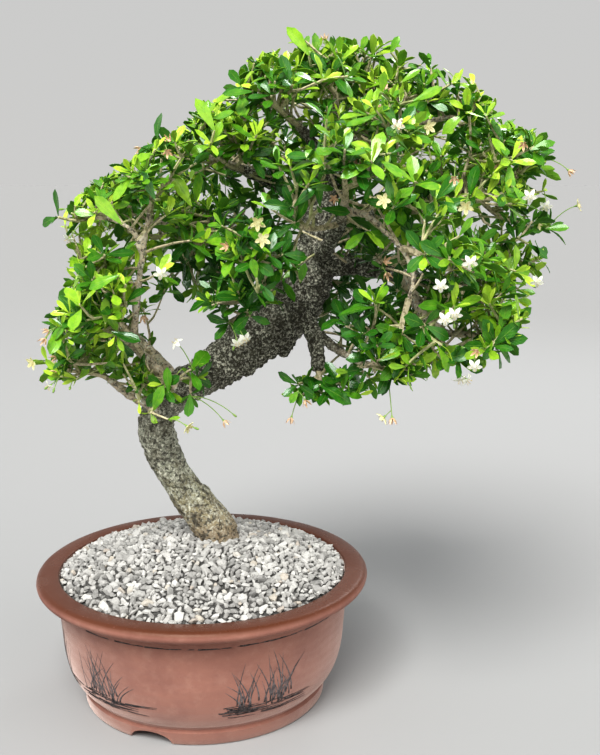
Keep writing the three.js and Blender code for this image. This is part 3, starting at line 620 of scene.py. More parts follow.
class Bench:
    """Places the nodes of one tree and joins them."""

    def __init__(self, tree: bpy.types.NodeTree) -> None:
        """Work on a tree."""
        self.tree = tree

    def add(self, kind: str, inputs: dict | None = None, **settings: object) -> bpy.types.Node:
        """Place a node.

        Args:
            kind: the node's type.
            inputs: for each socket's name or number, a value or a socket to join to it.
            settings: the node's own settings.

        Returns:
            The node.
        """
        node = self.tree.nodes.new(kind)
        for name, value in settings.items():
            setattr(node, name, value)
        self.feed(node, inputs or {})
        return node

    def feed(self, node: bpy.types.Node, inputs: dict) -> None:
        """Give a node's sockets values, or join other sockets to them.

        Args:
            node: the node.
            inputs: for each socket's name or number, a value or a socket.
        """
        for name, value in inputs.items():
            if isinstance(value, Socket):
                self.tree.links.new(value, node.inputs[name])
            else:
                node.inputs[name].default_value = value

    def reckon(self, operation: str, first: object, second: object = 0.0) -> Socket:
        """The outcome of a sum on two values or sockets."""
        return self.add("ShaderNodeMath", {0: first, 1: second}, operation=operation).outputs[0]

    def times(self, first: object, second: object) -> Socket:
        """The product of two values or sockets."""
        return self.reckon("MULTIPLY", first, second)

    def cloud(self, place: Socket, scale: object, detail: float, roughness: float = 0.5) -> Socket:
        """A soft noise at a scale."""
        inputs = {"Vector": place, "Scale": scale, "Detail": detail, "Roughness": roughness}
        return self.add("ShaderNodeTexNoise", inputs).outputs["Fac"]

    def spread(self, value: object, low: object, high: object, to_low: float, to_high: float) -> Socket:
        """A value moved from one range to another, with soft ends."""
        inputs = {"Value": value, "From Min": low, "From Max": high, "To Min": to_low, "To Max": to_high}
        return self.add("ShaderNodeMapRange", inputs, interpolation_type="SMOOTHSTEP").outputs["Result"]

    def grade(self, mask: object, start: float, end: float) -> Socket:
        """A value that runs from one number to another as a mask runs from 0 to 1."""
        return self.spread(mask, 0.0, 1.0, start, end)

    def blend(self, share: object, first: object, second: object) -> Socket:
        """Two colours mixed.

        Args:
            share: how much of the second, from 0 to 1.
            first: the first colour.
            second: the second colour.

        Returns:
            The mixed colour.
        """
        colours = {6: first, 7: second}
        plain = {number: (*value, 1.0) for number, value in colours.items() if isinstance(value, tuple)}
        return self.add("ShaderNodeMix", {0: share, **colours, **plain}, data_type="RGBA").outputs[2]

    def lay(self, colour: object, paint: object, mask: Socket, strength: float = 1.0) -> Socket:
        """A colour with a paint laid over it through a mask."""
        return self.blend(self.times(mask, strength) if strength < 1 else mask, colour, paint)

    def ramp(self, share: object, stops: Sequence[tuple[float, Colour]]) -> Socket:
        """A colour read off a list of stops.

        Args:
            share: the place on the list, from 0 to 1.
            stops: each colour's place, and the colour.

        Returns:
            The colour there.
        """
        node = self.add("ShaderNodeValToRGB", {"Fac": share})
        elements = node.color_ramp.elements
        while len(elements) < len(stops):
            elements.new(1.0)
        for element, (place, colour) in zip(elements, stops):
            element.position = place
            element.color = (*colour, 1.0)
        return node.outputs["Color"]

    def group(self, tree: bpy.types.NodeTree, **inputs: object) -> Socket:
        """Place a shared effect with values of its own, and give its outcome."""
        named = {name.title(): value for name, value in inputs.items()}
        return self.add("ShaderNodeGroup", named, node_tree=tree).outputs[0]


def new_effect(
    name: str, inputs: dict[str, float | None], output: str
) -> tuple[Bench, bpy.types.bpy_prop_collection]:
    """Start a shared effect.

    Args:
        name: the effect's name.
        inputs: each number that it takes with its usual value, or None where it takes a vector.
        output: the value that it puts out.

    Returns:
        The effect's bench, and the sockets that it is given.
    """
    tree = bpy.data.node_groups.new(name, "ShaderNodeTree")
    for label, value in inputs.items():
        kind = "NodeSocketVector" if value is None else "NodeSocketFloat"
        socket = tree.interface.new_socket(name=label, in_out="INPUT", socket_type=kind)
        if value is not None:
            socket.default_value = value
    tree.interface.new_socket(name=output, in_out="OUTPUT", socket_type="NodeSocketFloat")
    bench = Bench(tree)
    return bench, bench.add("NodeGroupInput").outputs


def mottle_effect() -> bpy.types.NodeTree:
    """Make soft patches: a mask that runs from 0 to 1 over a noise of a given scale.

    Returns:
        The effect.
    """
    bench, given = new_effect("Mottle", {"Vector": None, "Scale": 50.0, "Low": 0.4, "High": 0.6}, "Mask")
    cloud = bench.cloud(given["Vector"], given["Scale"], 4.0, 0.6)
    bench.add("NodeGroupOutput", {"Mask": bench.spread(cloud, given["Low"], given["High"], 0.0, 1.0)})
    return bench.tree


def speckle_effect() -> bpy.types.NodeTree:
    """Make small spots: a mask that is 1 inside a share of the cells of a pattern.

    Returns:
        The effect.
    """
    bench, given = new_effect("Speckle", {"Vector": None, "Scale": 500.0, "Share": 0.2, "Size": 0.35}, "Mask")
    cells = bench.add("ShaderNodeTexVoronoi", {key: given[key] for key in ("Vector", "Scale")}).outputs
    luck = bench.add("ShaderNodeSeparateColor", {"Color": cells["Color"]}).outputs["Red"]
    chosen = bench.reckon("LESS_THAN", luck, given["Share"])
    near = bench.reckon("LESS_THAN", cells["Distance"], given["Size"])
    bench.add("NodeGroupOutput", {"Mask": bench.times(chosen, near)})
    return bench.tree


def grain_effect() -> bpy.types.NodeTree:
    """Make a fine roughness: a height from a coarse and a fine noise.

    Returns:
        The effect.
    """
    bench, given = new_effect("Grain", {"Vector": None, "Scale": 800.0}, "Height")
    coarse = bench.cloud(given["Vector"], given["Scale"], 3.0)
    fine = bench.cloud(given["Vector"], bench.times(given["Scale"], 3.1), 2.0)
    bench.add("NodeGroupOutput", {"Height": bench.reckon("ADD", coarse, bench.times(fine, 0.5))})
    return bench.tree


MOTTLE = mottle_effect()
SPECKLE = speckle_effect()
GRAIN = grain_effect()


def per_mm(size: float) -> float:
    """The scale of a pattern whose cells are a size in millimetres."""
    return 1 / (size * MM)


class MaterialBench(Bench):
    """The bench of one material, which takes the sizes of its patterns in millimetres."""

    def __init__(self, name: str) -> None:
        """Start a material.

        Args:
            name: its name.
        """
        self.material = bpy.data.materials.new(name)
        self.material.use_nodes = True
        super().__init__(self.material.node_tree)
        self.shader = self.tree.nodes["Principled BSDF"]

    @cached_property
    def charts(self) -> bpy.types.bpy_prop_collection:
        """The coordinates that a pattern may follow."""
        return self.add("ShaderNodeTexCoord").outputs

    @property
    def place(self) -> Socket:
        """The place on the piece, in metres."""
        return self.charts["Object"]

    @cached_property
    def height(self) -> Socket:
        """The height of the place, in metres."""
        return self.add("ShaderNodeSeparateXYZ", {0: self.place}).outputs["Z"]

    def read(self, name: str) -> Socket:
        """A number that the mesh holds."""
        return self.add("ShaderNodeAttribute", attribute_name=name).outputs["Fac"]

    def mottle(self, size: float, low: float, high: float) -> Socket:
        """Soft patches: their size, and the noise's values where the mask starts and ends."""
        return self.group(MOTTLE, vector=self.place, scale=per_mm(size), low=low, high=high)

    def speckle(self, size: float, share: float, spot: float) -> Socket:
        """Small spots: their cells' size, the share of cells that hold one, and its part of the cell."""
        return self.group(SPECKLE, vector=self.place, scale=per_mm(size), share=share, size=spot)

    def grain(self, size: float) -> Socket:
        """A fine roughness of a size."""
        return self.group(GRAIN, vector=self.place, scale=per_mm(size))

    def finish(self, looks: dict[str, object], relief: Socket, depth: float) -> None:
        """Give the shader its looks, and a relief that is a number of millimetres deep."""
        bump = self.add("ShaderNodeBump", {"Height": relief, "Distance": depth * MM, "Strength": 1.0})
        self.feed(self.shader, {**looks, "Normal": bump.outputs["Normal"]})


@dataclass(frozen=True)
class Finish:
    """What the finishes have in common. Each kind lays its own colours and relief on its material."""

    name: str

    def material(self) -> bpy.types.Material:
        """Make the material.

        Returns:
            The material, with this finish on it.
        """
        bench = MaterialBench(self.name)
        self.lay_on(bench)
        return bench.material

    def lay_on(self, bench: MaterialBench) -> None:
        """Lay the finish on a material."""
        raise NotImplementedError


@dataclass(frozen=True)
class ClayFinish(Finish):
    """Unglazed reddish-brown clay, dusty on the wall, and smoother on the rim, where painted shade darkens
    its top.
    """

    name: str = "Fired clay"
    dustiness: float = 0.7
    body: Colour = (0.272, 0.128, 0.098)
    shade: Colour = (0.222, 0.102, 0.080)
    dust: Colour = (0.400, 0.232, 0.186)
    # The painted shade on the rim's top, which is coloured far darker than the wall though it faces the
    # light.
    rim_shade: Colour = (0.082, 0.025, 0.011)
    rim_height: float = 99.4
    rim_depth: float = 4.0
    turning_lines: float = 3.5

    def lay_on(self, bench: MaterialBench) -> None:
        """Lay patches, dust and turning lines on the clay, and make its rim smoother and darker with painted
        shade.

        Args:
            bench: the material's bench.
        """
        patches = bench.mottle(38, 0.38, 0.66)
        clouds = bench.mottle(9, 0.45, 0.75)
        spots = bench.speckle(1.6, 0.06, 0.3)
        rim = bench.spread(
            bench.height, (self.rim_height - self.rim_depth) * MM, self.rim_height * MM, 0.0, 1.0
        )
        colour = bench.blend(patches, self.body, self.shade)
        colour = bench.lay(colour, self.dust, clouds, 0.25)
        # Painted shade: the rim's top is coloured much darker, though it faces the light.
        colour = bench.lay(colour, self.rim_shade, rim, 0.9)
        colour = bench.lay(colour, self.shade, spots, 0.5)
        worn = bench.reckon("SUBTRACT", bench.grade(patches, 0.50, 0.62), bench.times(rim, 0.26))
        scale = per_mm(self.turning_lines) / 6
        wave = {"Vector": bench.place, "Scale": scale, "Distortion": 2.5, "Detail": 2.0}
        turned = bench.add("ShaderNodeTexWave", wave, bands_direction="Z").outputs["Fac"]
        relief = bench.reckon("ADD", bench.times(turned, 0.5), bench.grain(0.9))
        looks = {
            "Base Color": colour,
            "Roughness": worn,
            "Specular IOR Level": 0.24,
            "Specular Tint": (1.0, 0.78, 0.64, 1.0),
            "Sheen Weight": self.dustiness,
            "Sheen Roughness": 0.45,
            "Sheen Tint": (1.0, 0.82, 0.75, 1.0),
        }
        bench.finish(looks, relief, 0.12)


@dataclass(frozen=True)
class BarkFinish(Finish):
    """Grey-olive bark under grains of lichen, mossy black above and light tan on the thin branches, made
    paler by painted light.
    """

    name: str = "Lichened bark"
    # Partly the bark's own dark spots, partly painted shade: the colour laid in the sunken pits and in the
    # furrows.
    deep: Colour = (0.030, 0.027, 0.020)
    bark: Colour = (0.165, 0.160, 0.115)
    pale: Colour = (0.360, 0.375, 0.295)
    olive: Colour = (0.320, 0.290, 0.145)
    moss: Colour = (0.040, 0.037, 0.023)
    lichen: Colour = (0.740, 0.730, 0.600)
    # Paler than the thin branches' own tan: painted light, as the leaves shade them.
    tan: Colour = (0.820, 0.700, 0.510)
    fibre: Colour = (0.270, 0.195, 0.125)

    def lay_on(self, bench: MaterialBench) -> None:
        """Lay the bark's colours over one another, by height and by where the mesh is tan or furrowed, with
        painted shade in the pits and furrows and painted light on the tan.

        Args:
            bench: the material's bench.
        """
        patches = bench.mottle(11, 0.40, 0.62)
        clouds = bench.mottle(4, 0.42, 0.60)
        grains = bench.mottle(1.9, 0.50, 0.60)
        pits = bench.mottle(2.5, 0.52, 0.62)
        dots = bench.speckle(1.5, 0.4, 0.46)
        foot = bench.spread(bench.height, 0.112, 0.162, 0.85, 0.0)
        low_down = bench.spread(bench.height, 0.13, 0.20, 1.0, 0.0)
        high_up = bench.spread(bench.height, 0.205, 0.250, 0.0, 1.0)
        bare = bench.spread(foot, 0.0, 0.85, 1.0, 0.4)
        crusted = bench.times(bench.times(grains, bench.grade(patches, 0.46, 0.92)), bare)
        sown = bench.times(bench.times(dots, bare), bench.grade(patches, 0.25, 0.50))
        colour = bench.blend(patches, self.bark, self.pale)
        for mask, paint in (
            (bench.times(low_down, bench.grade(clouds, 0.15, 0.70)), self.olive),
            (bench.times(high_up, bench.grade(clouds, 0.95, 0.70)), self.moss),
            # Painted light: the tan branches are laid paler than their own colour.
            (bench.times(bench.read("tan"), 0.92), bench.lay(self.tan, self.fibre, clouds, 0.45)),
            (foot, self.fibre),
            (crusted, self.lichen),
            (sown, self.lichen),
            # The dark pits are partly the bark's own spots and partly painted shade where the relief sinks;
            # the furrows below are painted shade.
            (bench.times(pits, bench.grade(high_up, 0.80, 0.75)), self.deep),
            (bench.spread(bench.read("furrow_shade"), 0.35, 0.95, 0.0, 0.7), self.deep),
        ):
            colour = bench.lay(colour, paint, mask)
        raised = bench.times(bench.reckon("SUBTRACT", grains, pits), 0.5)
        relief = bench.reckon("ADD", bench.grain(1.3), raised)
        bench.finish({"Base Color": colour, "Roughness": 0.85}, relief, 0.7)


@dataclass(frozen=True)
class LeafFinish(Finish):
    """Glossy leaves from deep green to yellow-green, each with a pale midrib."""

    name: str = "Glossy leaf"
    greens: tuple[tuple[float, Colour], ...] = (
        (0.00, (0.010, 0.068, 0.006)),
        (0.30, (0.026, 0.135, 0.009)),
        (0.55, (0.095, 0.280, 0.015)),
        (0.80, (0.280, 0.500, 0.030)),
        (1.00, (0.520, 0.740, 0.070)),
    )
    rib: Colour = (0.34, 0.52, 0.08)
    under: Colour = (0.11, 0.26, 0.04)

    def lay_on(self, bench: MaterialBench) -> None:
        """Lay each leaf's tone, which the mesh holds, and its ribs, which follow the leaf's own map.

        Args:
            bench: the material's bench.
        """
        chart = bench.add("ShaderNodeSeparateXYZ", {0: bench.charts["UV"]}).outputs
        below = bench.read("below")
        off_rib = bench.reckon("ABSOLUTE", bench.reckon("SUBTRACT", chart["X"], 0.5))
        rib = bench.spread(off_rib, 0.015, 0.05, 1.0, 0.0)
        midrib = bench.times(rib, bench.spread(chart["Y"], 0.45, 1.0, 1.0, 0.15))
        rise = bench.reckon("SUBTRACT", bench.times(chart["Y"], 42.0), bench.times(off_rib, 26.0))
        vein = bench.spread(bench.reckon("SINE", rise), 0.75, 1.0, 0.0, 1.0)
        patches = bench.grade(bench.mottle(6, 0.3, 0.7), -0.06, 0.06)
        colour = bench.ramp(bench.reckon("ADD", bench.read("tone"), patches), self.greens)
        colour = bench.lay(colour, self.rib, vein, 0.08)
        colour = bench.lay(colour, self.rib, midrib, 0.26)
        colour = bench.lay(colour, self.under, below, 0.40)
        looks = {
            "Base Color": colour,
            "Roughness": bench.grade(below, 0.24, 0.6),
            "Coat Weight": bench.grade(below, 0.35, 0.0),
            "Coat Roughness": 0.09,
            "Specular IOR Level": 0.3,
            "Specular Tint": (0.75, 1.0, 0.8, 1.0),
        }
        bench.finish(looks, bench.reckon("ADD", rib, bench.times(vein, 0.4)), 0.18)


@dataclass(frozen=True)
class TwigFinish(Finish):
    """Young wood: light tan, made paler by painted light, with a green cast towards the tips."""

    name: str = "Young twig"
    # Paler than the twigs' own tan: painted light, as the leaves shade them.
    bark: Colour = (0.620, 0.520, 0.370)
    green: Colour = (0.340, 0.430, 0.130)
    dark: Colour = (0.130, 0.092, 0.060)

    def lay_on(self, bench: MaterialBench) -> None:
        """Lay dark patches on the bark, and green where the mesh says that the wood is young.

        Args:
            bench: the material's bench.
        """
        colour = bench.lay(self.bark, self.dark, bench.mottle(2.6, 0.45, 0.62), 0.8)
        colour = bench.lay(colour, self.green, bench.read("tone"))
        bench.finish({"Base Color": colour, "Roughness": 0.7}, bench.grain(0.8), 0.2)


@dataclass(frozen=True)
class StoneFinish(Finish):
    """Crushed grey-white stone, each piece of its own tone, with a few beige and pinkish ones."""

    name: str = "Crushed stone"
    tones: tuple[tuple[float, Colour], ...] = (
        (0.00, (0.190, 0.185, 0.177)),
        (0.35, (0.335, 0.327, 0.312)),
        (0.70, (0.445, 0.436, 0.416)),
        (0.94, (0.560, 0.550, 0.524)),
        (0.97, (0.430, 0.385, 0.320)),
        (1.00, (0.375, 0.325, 0.280)),
    )
    dust: Colour = (0.58, 0.575, 0.55)
    fleck: Colour = (0.06, 0.06, 0.06)

    def lay_on(self, bench: MaterialBench) -> None:
        """Lay each stone's tone, which the mesh holds, under dust and dark flecks.

        Args:
            bench: the material's bench.
        """
        colour = bench.ramp(bench.read("tone"), self.tones)
        colour = bench.lay(colour, self.dust, bench.mottle(1.8, 0.35, 0.68), 0.28)
        colour = bench.lay(colour, self.fleck, bench.speckle(0.8, 0.16, 0.4), 0.4)
        bench.finish({"Base Color": colour, "Roughness": 0.86}, bench.grain(0.7), 0.22)


@dataclass(frozen=True)
class SoftFinish(Finish):
    """A plain soft or dull surface with a faint mottle, such as a petal, soil or plastic mesh."""

    colour: Colour
    shade: Colour
    patch: float
    roughness: float
    depth: float = 0.1

    def lay_on(self, bench: MaterialBench) -> None:
        """Lay faint patches on the surface, and a finer grain.

        Args:
            bench: the material's bench.
        """
        colour = bench.blend(bench.mottle(self.patch, 0.35, 0.7), self.colour, self.shade)
        looks = {"Base Color": colour, "Roughness": self.roughness}
        bench.finish(looks, bench.grain(self.patch / 4), self.depth)


FINISHES: dict[str, Finish] = {
    "clay": ClayFinish(),
    # The rim's own material, without sheen, with the same painted shade on its top.
    "rim": ClayFinish("Rim clay in painted shade", dustiness=0.0),
    "bark": BarkFinish(),
    "leaf": LeafFinish(),
    "twig": TwigFinish(),
    "stone": StoneFinish(),
    "etching": SoftFinish("Etched clay", (0.072, 0.063, 0.067), (0.180, 0.150, 0.145), 3, 0.8),
    "petal": SoftFinish("White petal", (0.86, 0.86, 0.78), (0.76, 0.80, 0.62), 3, 0.45),
    "cream": SoftFinish("Cream petal", (0.80, 0.80, 0.46), (0.66, 0.60, 0.26), 3, 0.5),
    "faded": SoftFinish("Faded petal", (0.56, 0.32, 0.18), (0.80, 0.62, 0.42), 1.5, 0.6),
    "calyx": SoftFinish("Calyx", (0.16, 0.30, 0.05), (0.26, 0.38, 0.09), 2, 0.5),
    "anther": SoftFinish("Anther", (0.62, 0.52, 0.24), (0.40, 0.30, 0.14), 1, 0.6),
    "soil": SoftFinish("Potting mix", (0.035, 0.022, 0.014), (0.08, 0.05, 0.03), 4, 0.95, 0.8),
    # Its dark colour is painted shade, standing in for the shade between the stones.
    "grit": SoftFinish("Grit", (0.12, 0.116, 0.11), (0.05, 0.049, 0.046), 2, 0.95, 0.6),
    "screen": SoftFinish("Plastic mesh", (0.012, 0.012, 0.012), (0.02, 0.02, 0.02), 4, 0.5),
}


# Leaves and twigs


class LeafForm(Enum):
    """The ways a leaf bends: how far it arches, how its halves fold up and how it twists."""

    FLAT = (0.10, 0.18, 0.05)
    ARCHED = (0.24, 0.16, -0.10)
    FOLDED = (0.14, 0.48, 0.08)
    CUPPED = (-0.06, 0.34, 0.0)
    DROOPING = (0.38, 0.22, 0.18)


FORMS = list(LeafForm)


@dataclass(frozen=True)
class LeafPattern:
    """The leaf that all others are copied from, in each of its forms."""

    length: float = 20.0
    half_width: float = 4.3
    thickness: float = 0.3
    rows: int = 4
    columns: int = 4
    outline: tuple[float, ...] = (0.09, 0.60, 1.0, 0.80, 0.06)
    foot_crowding: float = 1.35
    ripple: float = 0.25
    crease: float = 50.0

    def make(self, form: LeafForm) -> bpy.types.Mesh:
        """Make the leaf in one form.

        Args:
            form: the way it bends.

        Returns:
            The leaf's mesh: its stalk at the origin, along +Y, with its upper side towards +Z.
        """
        arch, fold, twist = form.value
        leaf = bmesh.new()
        leaf.loops.layers.uv.new("UVMap")
        leaf.verts.layers.float.new("tone")
        side = leaf.faces.layers.float.new("below")
        bmesh.ops.create_grid(leaf, x_segments=self.columns, y_segments=self.rows, size=1.0, calc_uvs=True)
        for corner in leaf.verts:
            step = (corner.co.y + 1) / 2
            along = 1 - (1 - step) ** self.foot_crowding
            out = corner.co.x
            across = out * self.half_width * read_off(self.outline, step)
            lift = fold * abs(across) - 0.5 * fold * across * across / self.half_width
            lift -= arch * self.length * along * along
            lift += twist * across * along * 2
            ripple = self.ripple * math.sin(along * 15) * abs(out) ** 2
            corner.co = Vector((across, along * self.length, lift + ripple))
        bmesh.ops.solidify(leaf, geom=list(leaf.faces), thickness=self.thickness)
        bmesh.ops.recalc_face_normals(leaf, faces=leaf.faces)
        leaf.normal_update()
        for face in leaf.faces:
            face[side] = float(face.normal.z < 0)
            face.material_index = 1
        return mesh_of(f"leaf_{form.name.lower()}", leaf, self.crease)

    def make_all(self) -> dict[LeafForm, bpy.types.Mesh]:
        """Make the leaf in each of its forms."""
        return {form: self.make(form) for form in LeafForm}


@dataclass(frozen=True)
class Leaf:
    """One leaf's place: its stalk, the way it points, its upper side, its length, width and tone."""

    base: Vector
    along: Vector
    upper: Vector
    length: float
    half_width: float
    tone: float
    form: LeafForm

    def place(self, pattern: LeafPattern) -> Matrix:
        """Where the pattern leaf goes.

        Args:
            pattern: the leaf that this one is copied from.

        Returns:
            The matrix that sets it here.
        """
        across = self.along.cross(self.upper).normalized()
        size = self.length / pattern.length
        turn = Matrix((across, self.along, self.upper)).transposed().to_4x4()
        widths = Matrix.Diagonal((self.half_width / pattern.half_width, size, size, 1.0))
        return Matrix.Translation(self.base) @ turn @ widths


@dataclass
class Shoot:
    """A twig or side shoot: its line, its radii, its steps, how young it is and its leaves."""

    course: Course
    radii: Span
    steps: int
    youth: float
    leaves: list[Leaf] = field(default_factory=list)


@dataclass(frozen=True)
class Growth:
    """The limits of a leafy shoot drawn at random: its reach, how young it is and its largest leaf."""

    reach: Span
    youth: Span
    leaf: Span


@dataclass
class LeafySpray:
    """A twig with its side shoots, and a rosette of leaves at the end of each."""

    seat: Seat
    number: int
    extra_shoots: int = 16
    shoots_per_offshoot: int = 6
    wood_gap: float = 5.2
    twig_radii: Span = (2.3, 1.4)
    side_radii: Span = (1.3, 1.0)
    fine_radii: Span = (1.1, 0.7)
    side_reach: Span = (16, 24)
    step_length: float = 24.0
    forks: tuple[float, float] = (0.42, 0.72)
    blades: tuple[int, ...] = (4, 4, 3)
    offshoot_radii: Span = (1.6, 1.1)
    offshoot_blades: int = 3
    shortest: float = 18.0
    longest: float = 27.0
    leaf_size: float = 0.78
    leaf_width: float = 0.43
    rosette_leans: Span = (48, 80)
    heart_leans: Span = (14, 84)
    heart_distance: float = 55.0
    heart_fade: float = 75.0
    fine_growth: Growth = Growth((12, 29), (0.1, 0.6), (15, 23))
    wood_growth: Growth = Growth((14, 36), (0.1, 0.4), (14, 21))

    def plan(self) -> list[Shoot]:
        """Lay out the spray.

        Returns:
            Its shoots. The first ones are those of the solid, with their leaves in the same places.
        """
        draw = Draw(self.number)
        start, heading = self._leave_wood()
        twig = self._grow_to(start, heading, Vector(self.seat.tip), self.twig_radii)
        shoots = [twig]
        for k, share in enumerate(self.forks):
            side = (-1) ** (self.number - 1 + k)
            fork = twig.course.point_at(share)
            along = twig.course.heading_at(share)
            across = along.cross(UP).normalized()
            way = along * 0.5 + across * (side * draw.between(0.7, 1))
            way = (way + UP * draw.between(0.1, 0.7)).normalized()
            end = fork + way * draw.between(*self.side_reach)
            shoots.append(Shoot(self.bowed(fork, end, draw.state), self.side_radii, 3, 0.35))
        offshoots = [offshoot for offshoot in OFFSHOOTS if offshoot.spray == self.number - 1]
        for offshoot in offshoots:
            fork = twig.course.point_at(offshoot.at)
            tip = Vector(offshoot.tip)
            shoots.append(self._grow_to(fork, (tip - fork).normalized(), tip, self.offshoot_radii))
        for k, shoot in enumerate(shoots):
            self._add_rosette(shoot, self.blades[k] if k < len(self.blades) else self.offshoot_blades, draw)
        flush = Draw(self.number + 500)
        for shoot in shoots:
            self.add_heart(shoot, 3, flush)
        self._add_fine_shoots(shoots, self.extra_shoots + self.shoots_per_offshoot * len(offshoots), flush)
        if self.seat.at == 1:
            self._add_wood_shoots(shoots, flush)
        return shoots

    def _grow_to(self, start: Vector, heading: Vector, tip: Vector, radii: Span) -> Shoot:
        """Grow a shoot that turns outward and up towards its tip.

        Args:
            start: where it starts.
            heading: the way it sets out.
            tip: where it ends.
            radii: its radii at the start and the end.

        Returns:
            The shoot.
        """
        reach = (tip - start).length
        axis = (tip - start).normalized() + (tip - CROWN_HEART).normalized() * 0.8
        axis = (axis + UP * 0.5).normalized()
        course = Course.bend(start, start + heading * (0.35 * reach), tip - axis * (0.35 * reach), tip)
        return Shoot(course, radii, 3 * max(2, round(reach / self.step_length)), 0.15)

    def _leave_wood(self) -> tuple[Vector, Vector]:
        """Find where the twig starts.

        Returns:
            Where it leaves the wood, and the way it sets out.
        """
        course = WOOD_LINES[self.seat.on]
        place = course.point_at(self.seat.at)
        along = course.heading_at(self.seat.at)
        if self.seat.at == 1:
            return place - along * 1.5, along
        heading = (Vector(self.seat.tip) - place).normalized()
        return place, (heading - along * (0.6 * heading.dot(along))).normalized()

    @staticmethod
    def bowed(start: Vector, end: Vector, seed: int) -> Course:
        """A line that leaves sideways and turns up a little.

        Args:
            start: where it starts.
            end: where it ends.
            seed: the number that names its sway.

        Returns:
            The line.
        """
        reach = (end - start).length
        sway = Draw(seed % 9973).heading() * (0.12 * reach)
        leave = start.lerp(end, 0.35) + sway - UP * (0.05 * reach)
        return Course.bend(start, leave, start.lerp(end, 0.7) + sway * 0.5, end, divisions=12)

    @staticmethod
    def _lean_out(axes: Sequence[Vector], turn: float, lean: float) -> tuple[Vector, Vector]:
        """Point a leaf away from its shoot.

        Args:
            axes: the shoot's normal, its side and the way that it runs.
            turn: how far round the shoot the leaf stands.
            lean: how far it leans off the shoot.

        Returns:
            The way the leaf points, and its upper side.
        """
        normal, side, axis = axes
        radial = normal * math.cos(turn) + side * math.sin(turn)
        along = axis * math.cos(lean) + radial * math.sin(lean)
        return along, axis * math.sin(lean) - radial * math.cos(lean)

    def _add_rosette(self, shoot: Shoot, blades: int, draw: Draw) -> None:
        """Give a shoot the leaves that its solid has.

        Args:
            shoot: the shoot.
            blades: the number of leaves.
            draw: the stream that they are drawn from.
        """
        end = shoot.course.frames(max(1, shoot.steps // 3))[-1]
        axes = [end.col[i].to_3d() for i in range(3)]
        for k in range(blades):
            turn = (k + 0.5) / blades * 2 * math.pi + draw.about(0, 0.15)
            age = ((k * 2) % blades) / blades
            lean = math.radians(mix(*self.rosette_leans, age) + draw.about(0, 8))
            length = mix(self.shortest, self.longest, age) * draw.about(1, 0.12)
            width = draw.about(1, 0.12)
            along, upper = self._lean_out(axes, turn, lean)
            size = length * self.leaf_size
            half_width = 0.5 * size * self.leaf_width * width
            tone = 0.18 + 0.16 * width - 0.1 * age
            form = FORMS[(self.number + k) % len(FORMS)]
            shoot.leaves.append(Leaf(shoot.course.end + along, along, upper, size, half_width, tone, form))

    def add_heart(self, shoot: Shoot, count: int, draw: Draw, largest: float = 17.0) -> None:
        """Give a shoot a spiral of leaves, small, upright and bright at its tip and larger below.

        Args:
            shoot: the shoot.
            count: the number of leaves.
            draw: the stream that they are drawn from.
            largest: the length of the lowest leaf.
        """
        axis = (shoot.course.heading_at(1) + UP * 0.55).normalized()
        normal = axis.orthogonal().normalized()
        axes = (normal, axis.cross(normal), axis)
        turn = draw.between(0, 2 * math.pi)
        away = shoot.course.end - CROWN_HEART
        distance = Vector((away.x, 0.5 * away.y, away.z)).length
        out = smooth_step((distance - self.heart_distance) / self.heart_fade)
        fresh = smooth_step(1.7 * draw.next() - 0.70 + 0.68 * out)
        for k in range(count):
            age = (k + 0.4) / count
            turn += GOLDEN_TURN
            lean = math.radians(mix(*self.heart_leans, age) + draw.about(0, 12))
            along, upper = self._lean_out(axes, turn, lean)
            length = largest * mix(0.5, 1.0, age) * draw.about(1, 0.18)
            # Leaves further out are more often young and bright; the 0.20 * out term adds painted light on
            # the crown's outside and leaves painted shade on the leaves inside.
            tone = 0.03 + 0.20 * draw.next() + fresh * (0.24 + 0.56 * (1 - age)) + 0.20 * out
            base = shoot.course.end - axis * (age * 4.5) + along * 0.6
            if not belongs_to_crown(base + along * (0.8 * length)):
                continue
            half_width = 0.5 * length * self.leaf_width * mix(0.7, 1.0, age) * draw.about(1, 0.1)
            form = FORMS[int(draw.next() * len(FORMS))]
            shoot.leaves.append(Leaf(base, along, upper, length, half_width, tone, form))

    def _sprout(self, start: Vector, way: Vector, growth: Growth, draw: Draw) -> Shoot | None:
        """Grow a fine leafy shoot.

        Args:
            start: where it starts.
            way: the way it grows.
            growth: its limits.
            draw: the stream that it is drawn from.

        Returns:
            The shoot, or None where it would leave the crown.
        """
        end = start + way * draw.between(*growth.reach)
        if not belongs_to_crown(end + way * 6):
            return None
        shoot = Shoot(self.bowed(start, end, draw.state), self.fine_radii, 3, draw.between(*growth.youth))
        self.add_heart(shoot, 4 + int(draw.next() * 4), draw, largest=draw.between(*growth.leaf))
        return shoot

    def _add_fine_shoots(self, shoots: list[Shoot], extra: int, draw: Draw) -> None:
        """Give the spray its finer shoots, which the solid leaves out.

        Args:
            shoots: the spray's shoots so far, which get the finer ones.
            extra: how many are wanted.
            draw: the stream that they are drawn from.
        """
        outward = (Vector(self.seat.tip) - CROWN_HEART).normalized()
        bearers = list(shoots)
        wanted = len(shoots) + extra
        for _ in range(6 * wanted):
            if len(shoots) == wanted:
                return
            bearer = bearers[int(draw.next() * len(bearers))]
            start = bearer.course.point_at(draw.between(0.3, 0.95))
            way = (draw.heading() * 0.95 + outward * 0.45 + UP * 0.45).normalized()
            shoot = self._sprout(start, way, self.fine_growth, draw)
            if shoot is None:
                continue
            shoots.append(shoot)
            if draw.next() < 0.4:
                bearers.append(shoot)

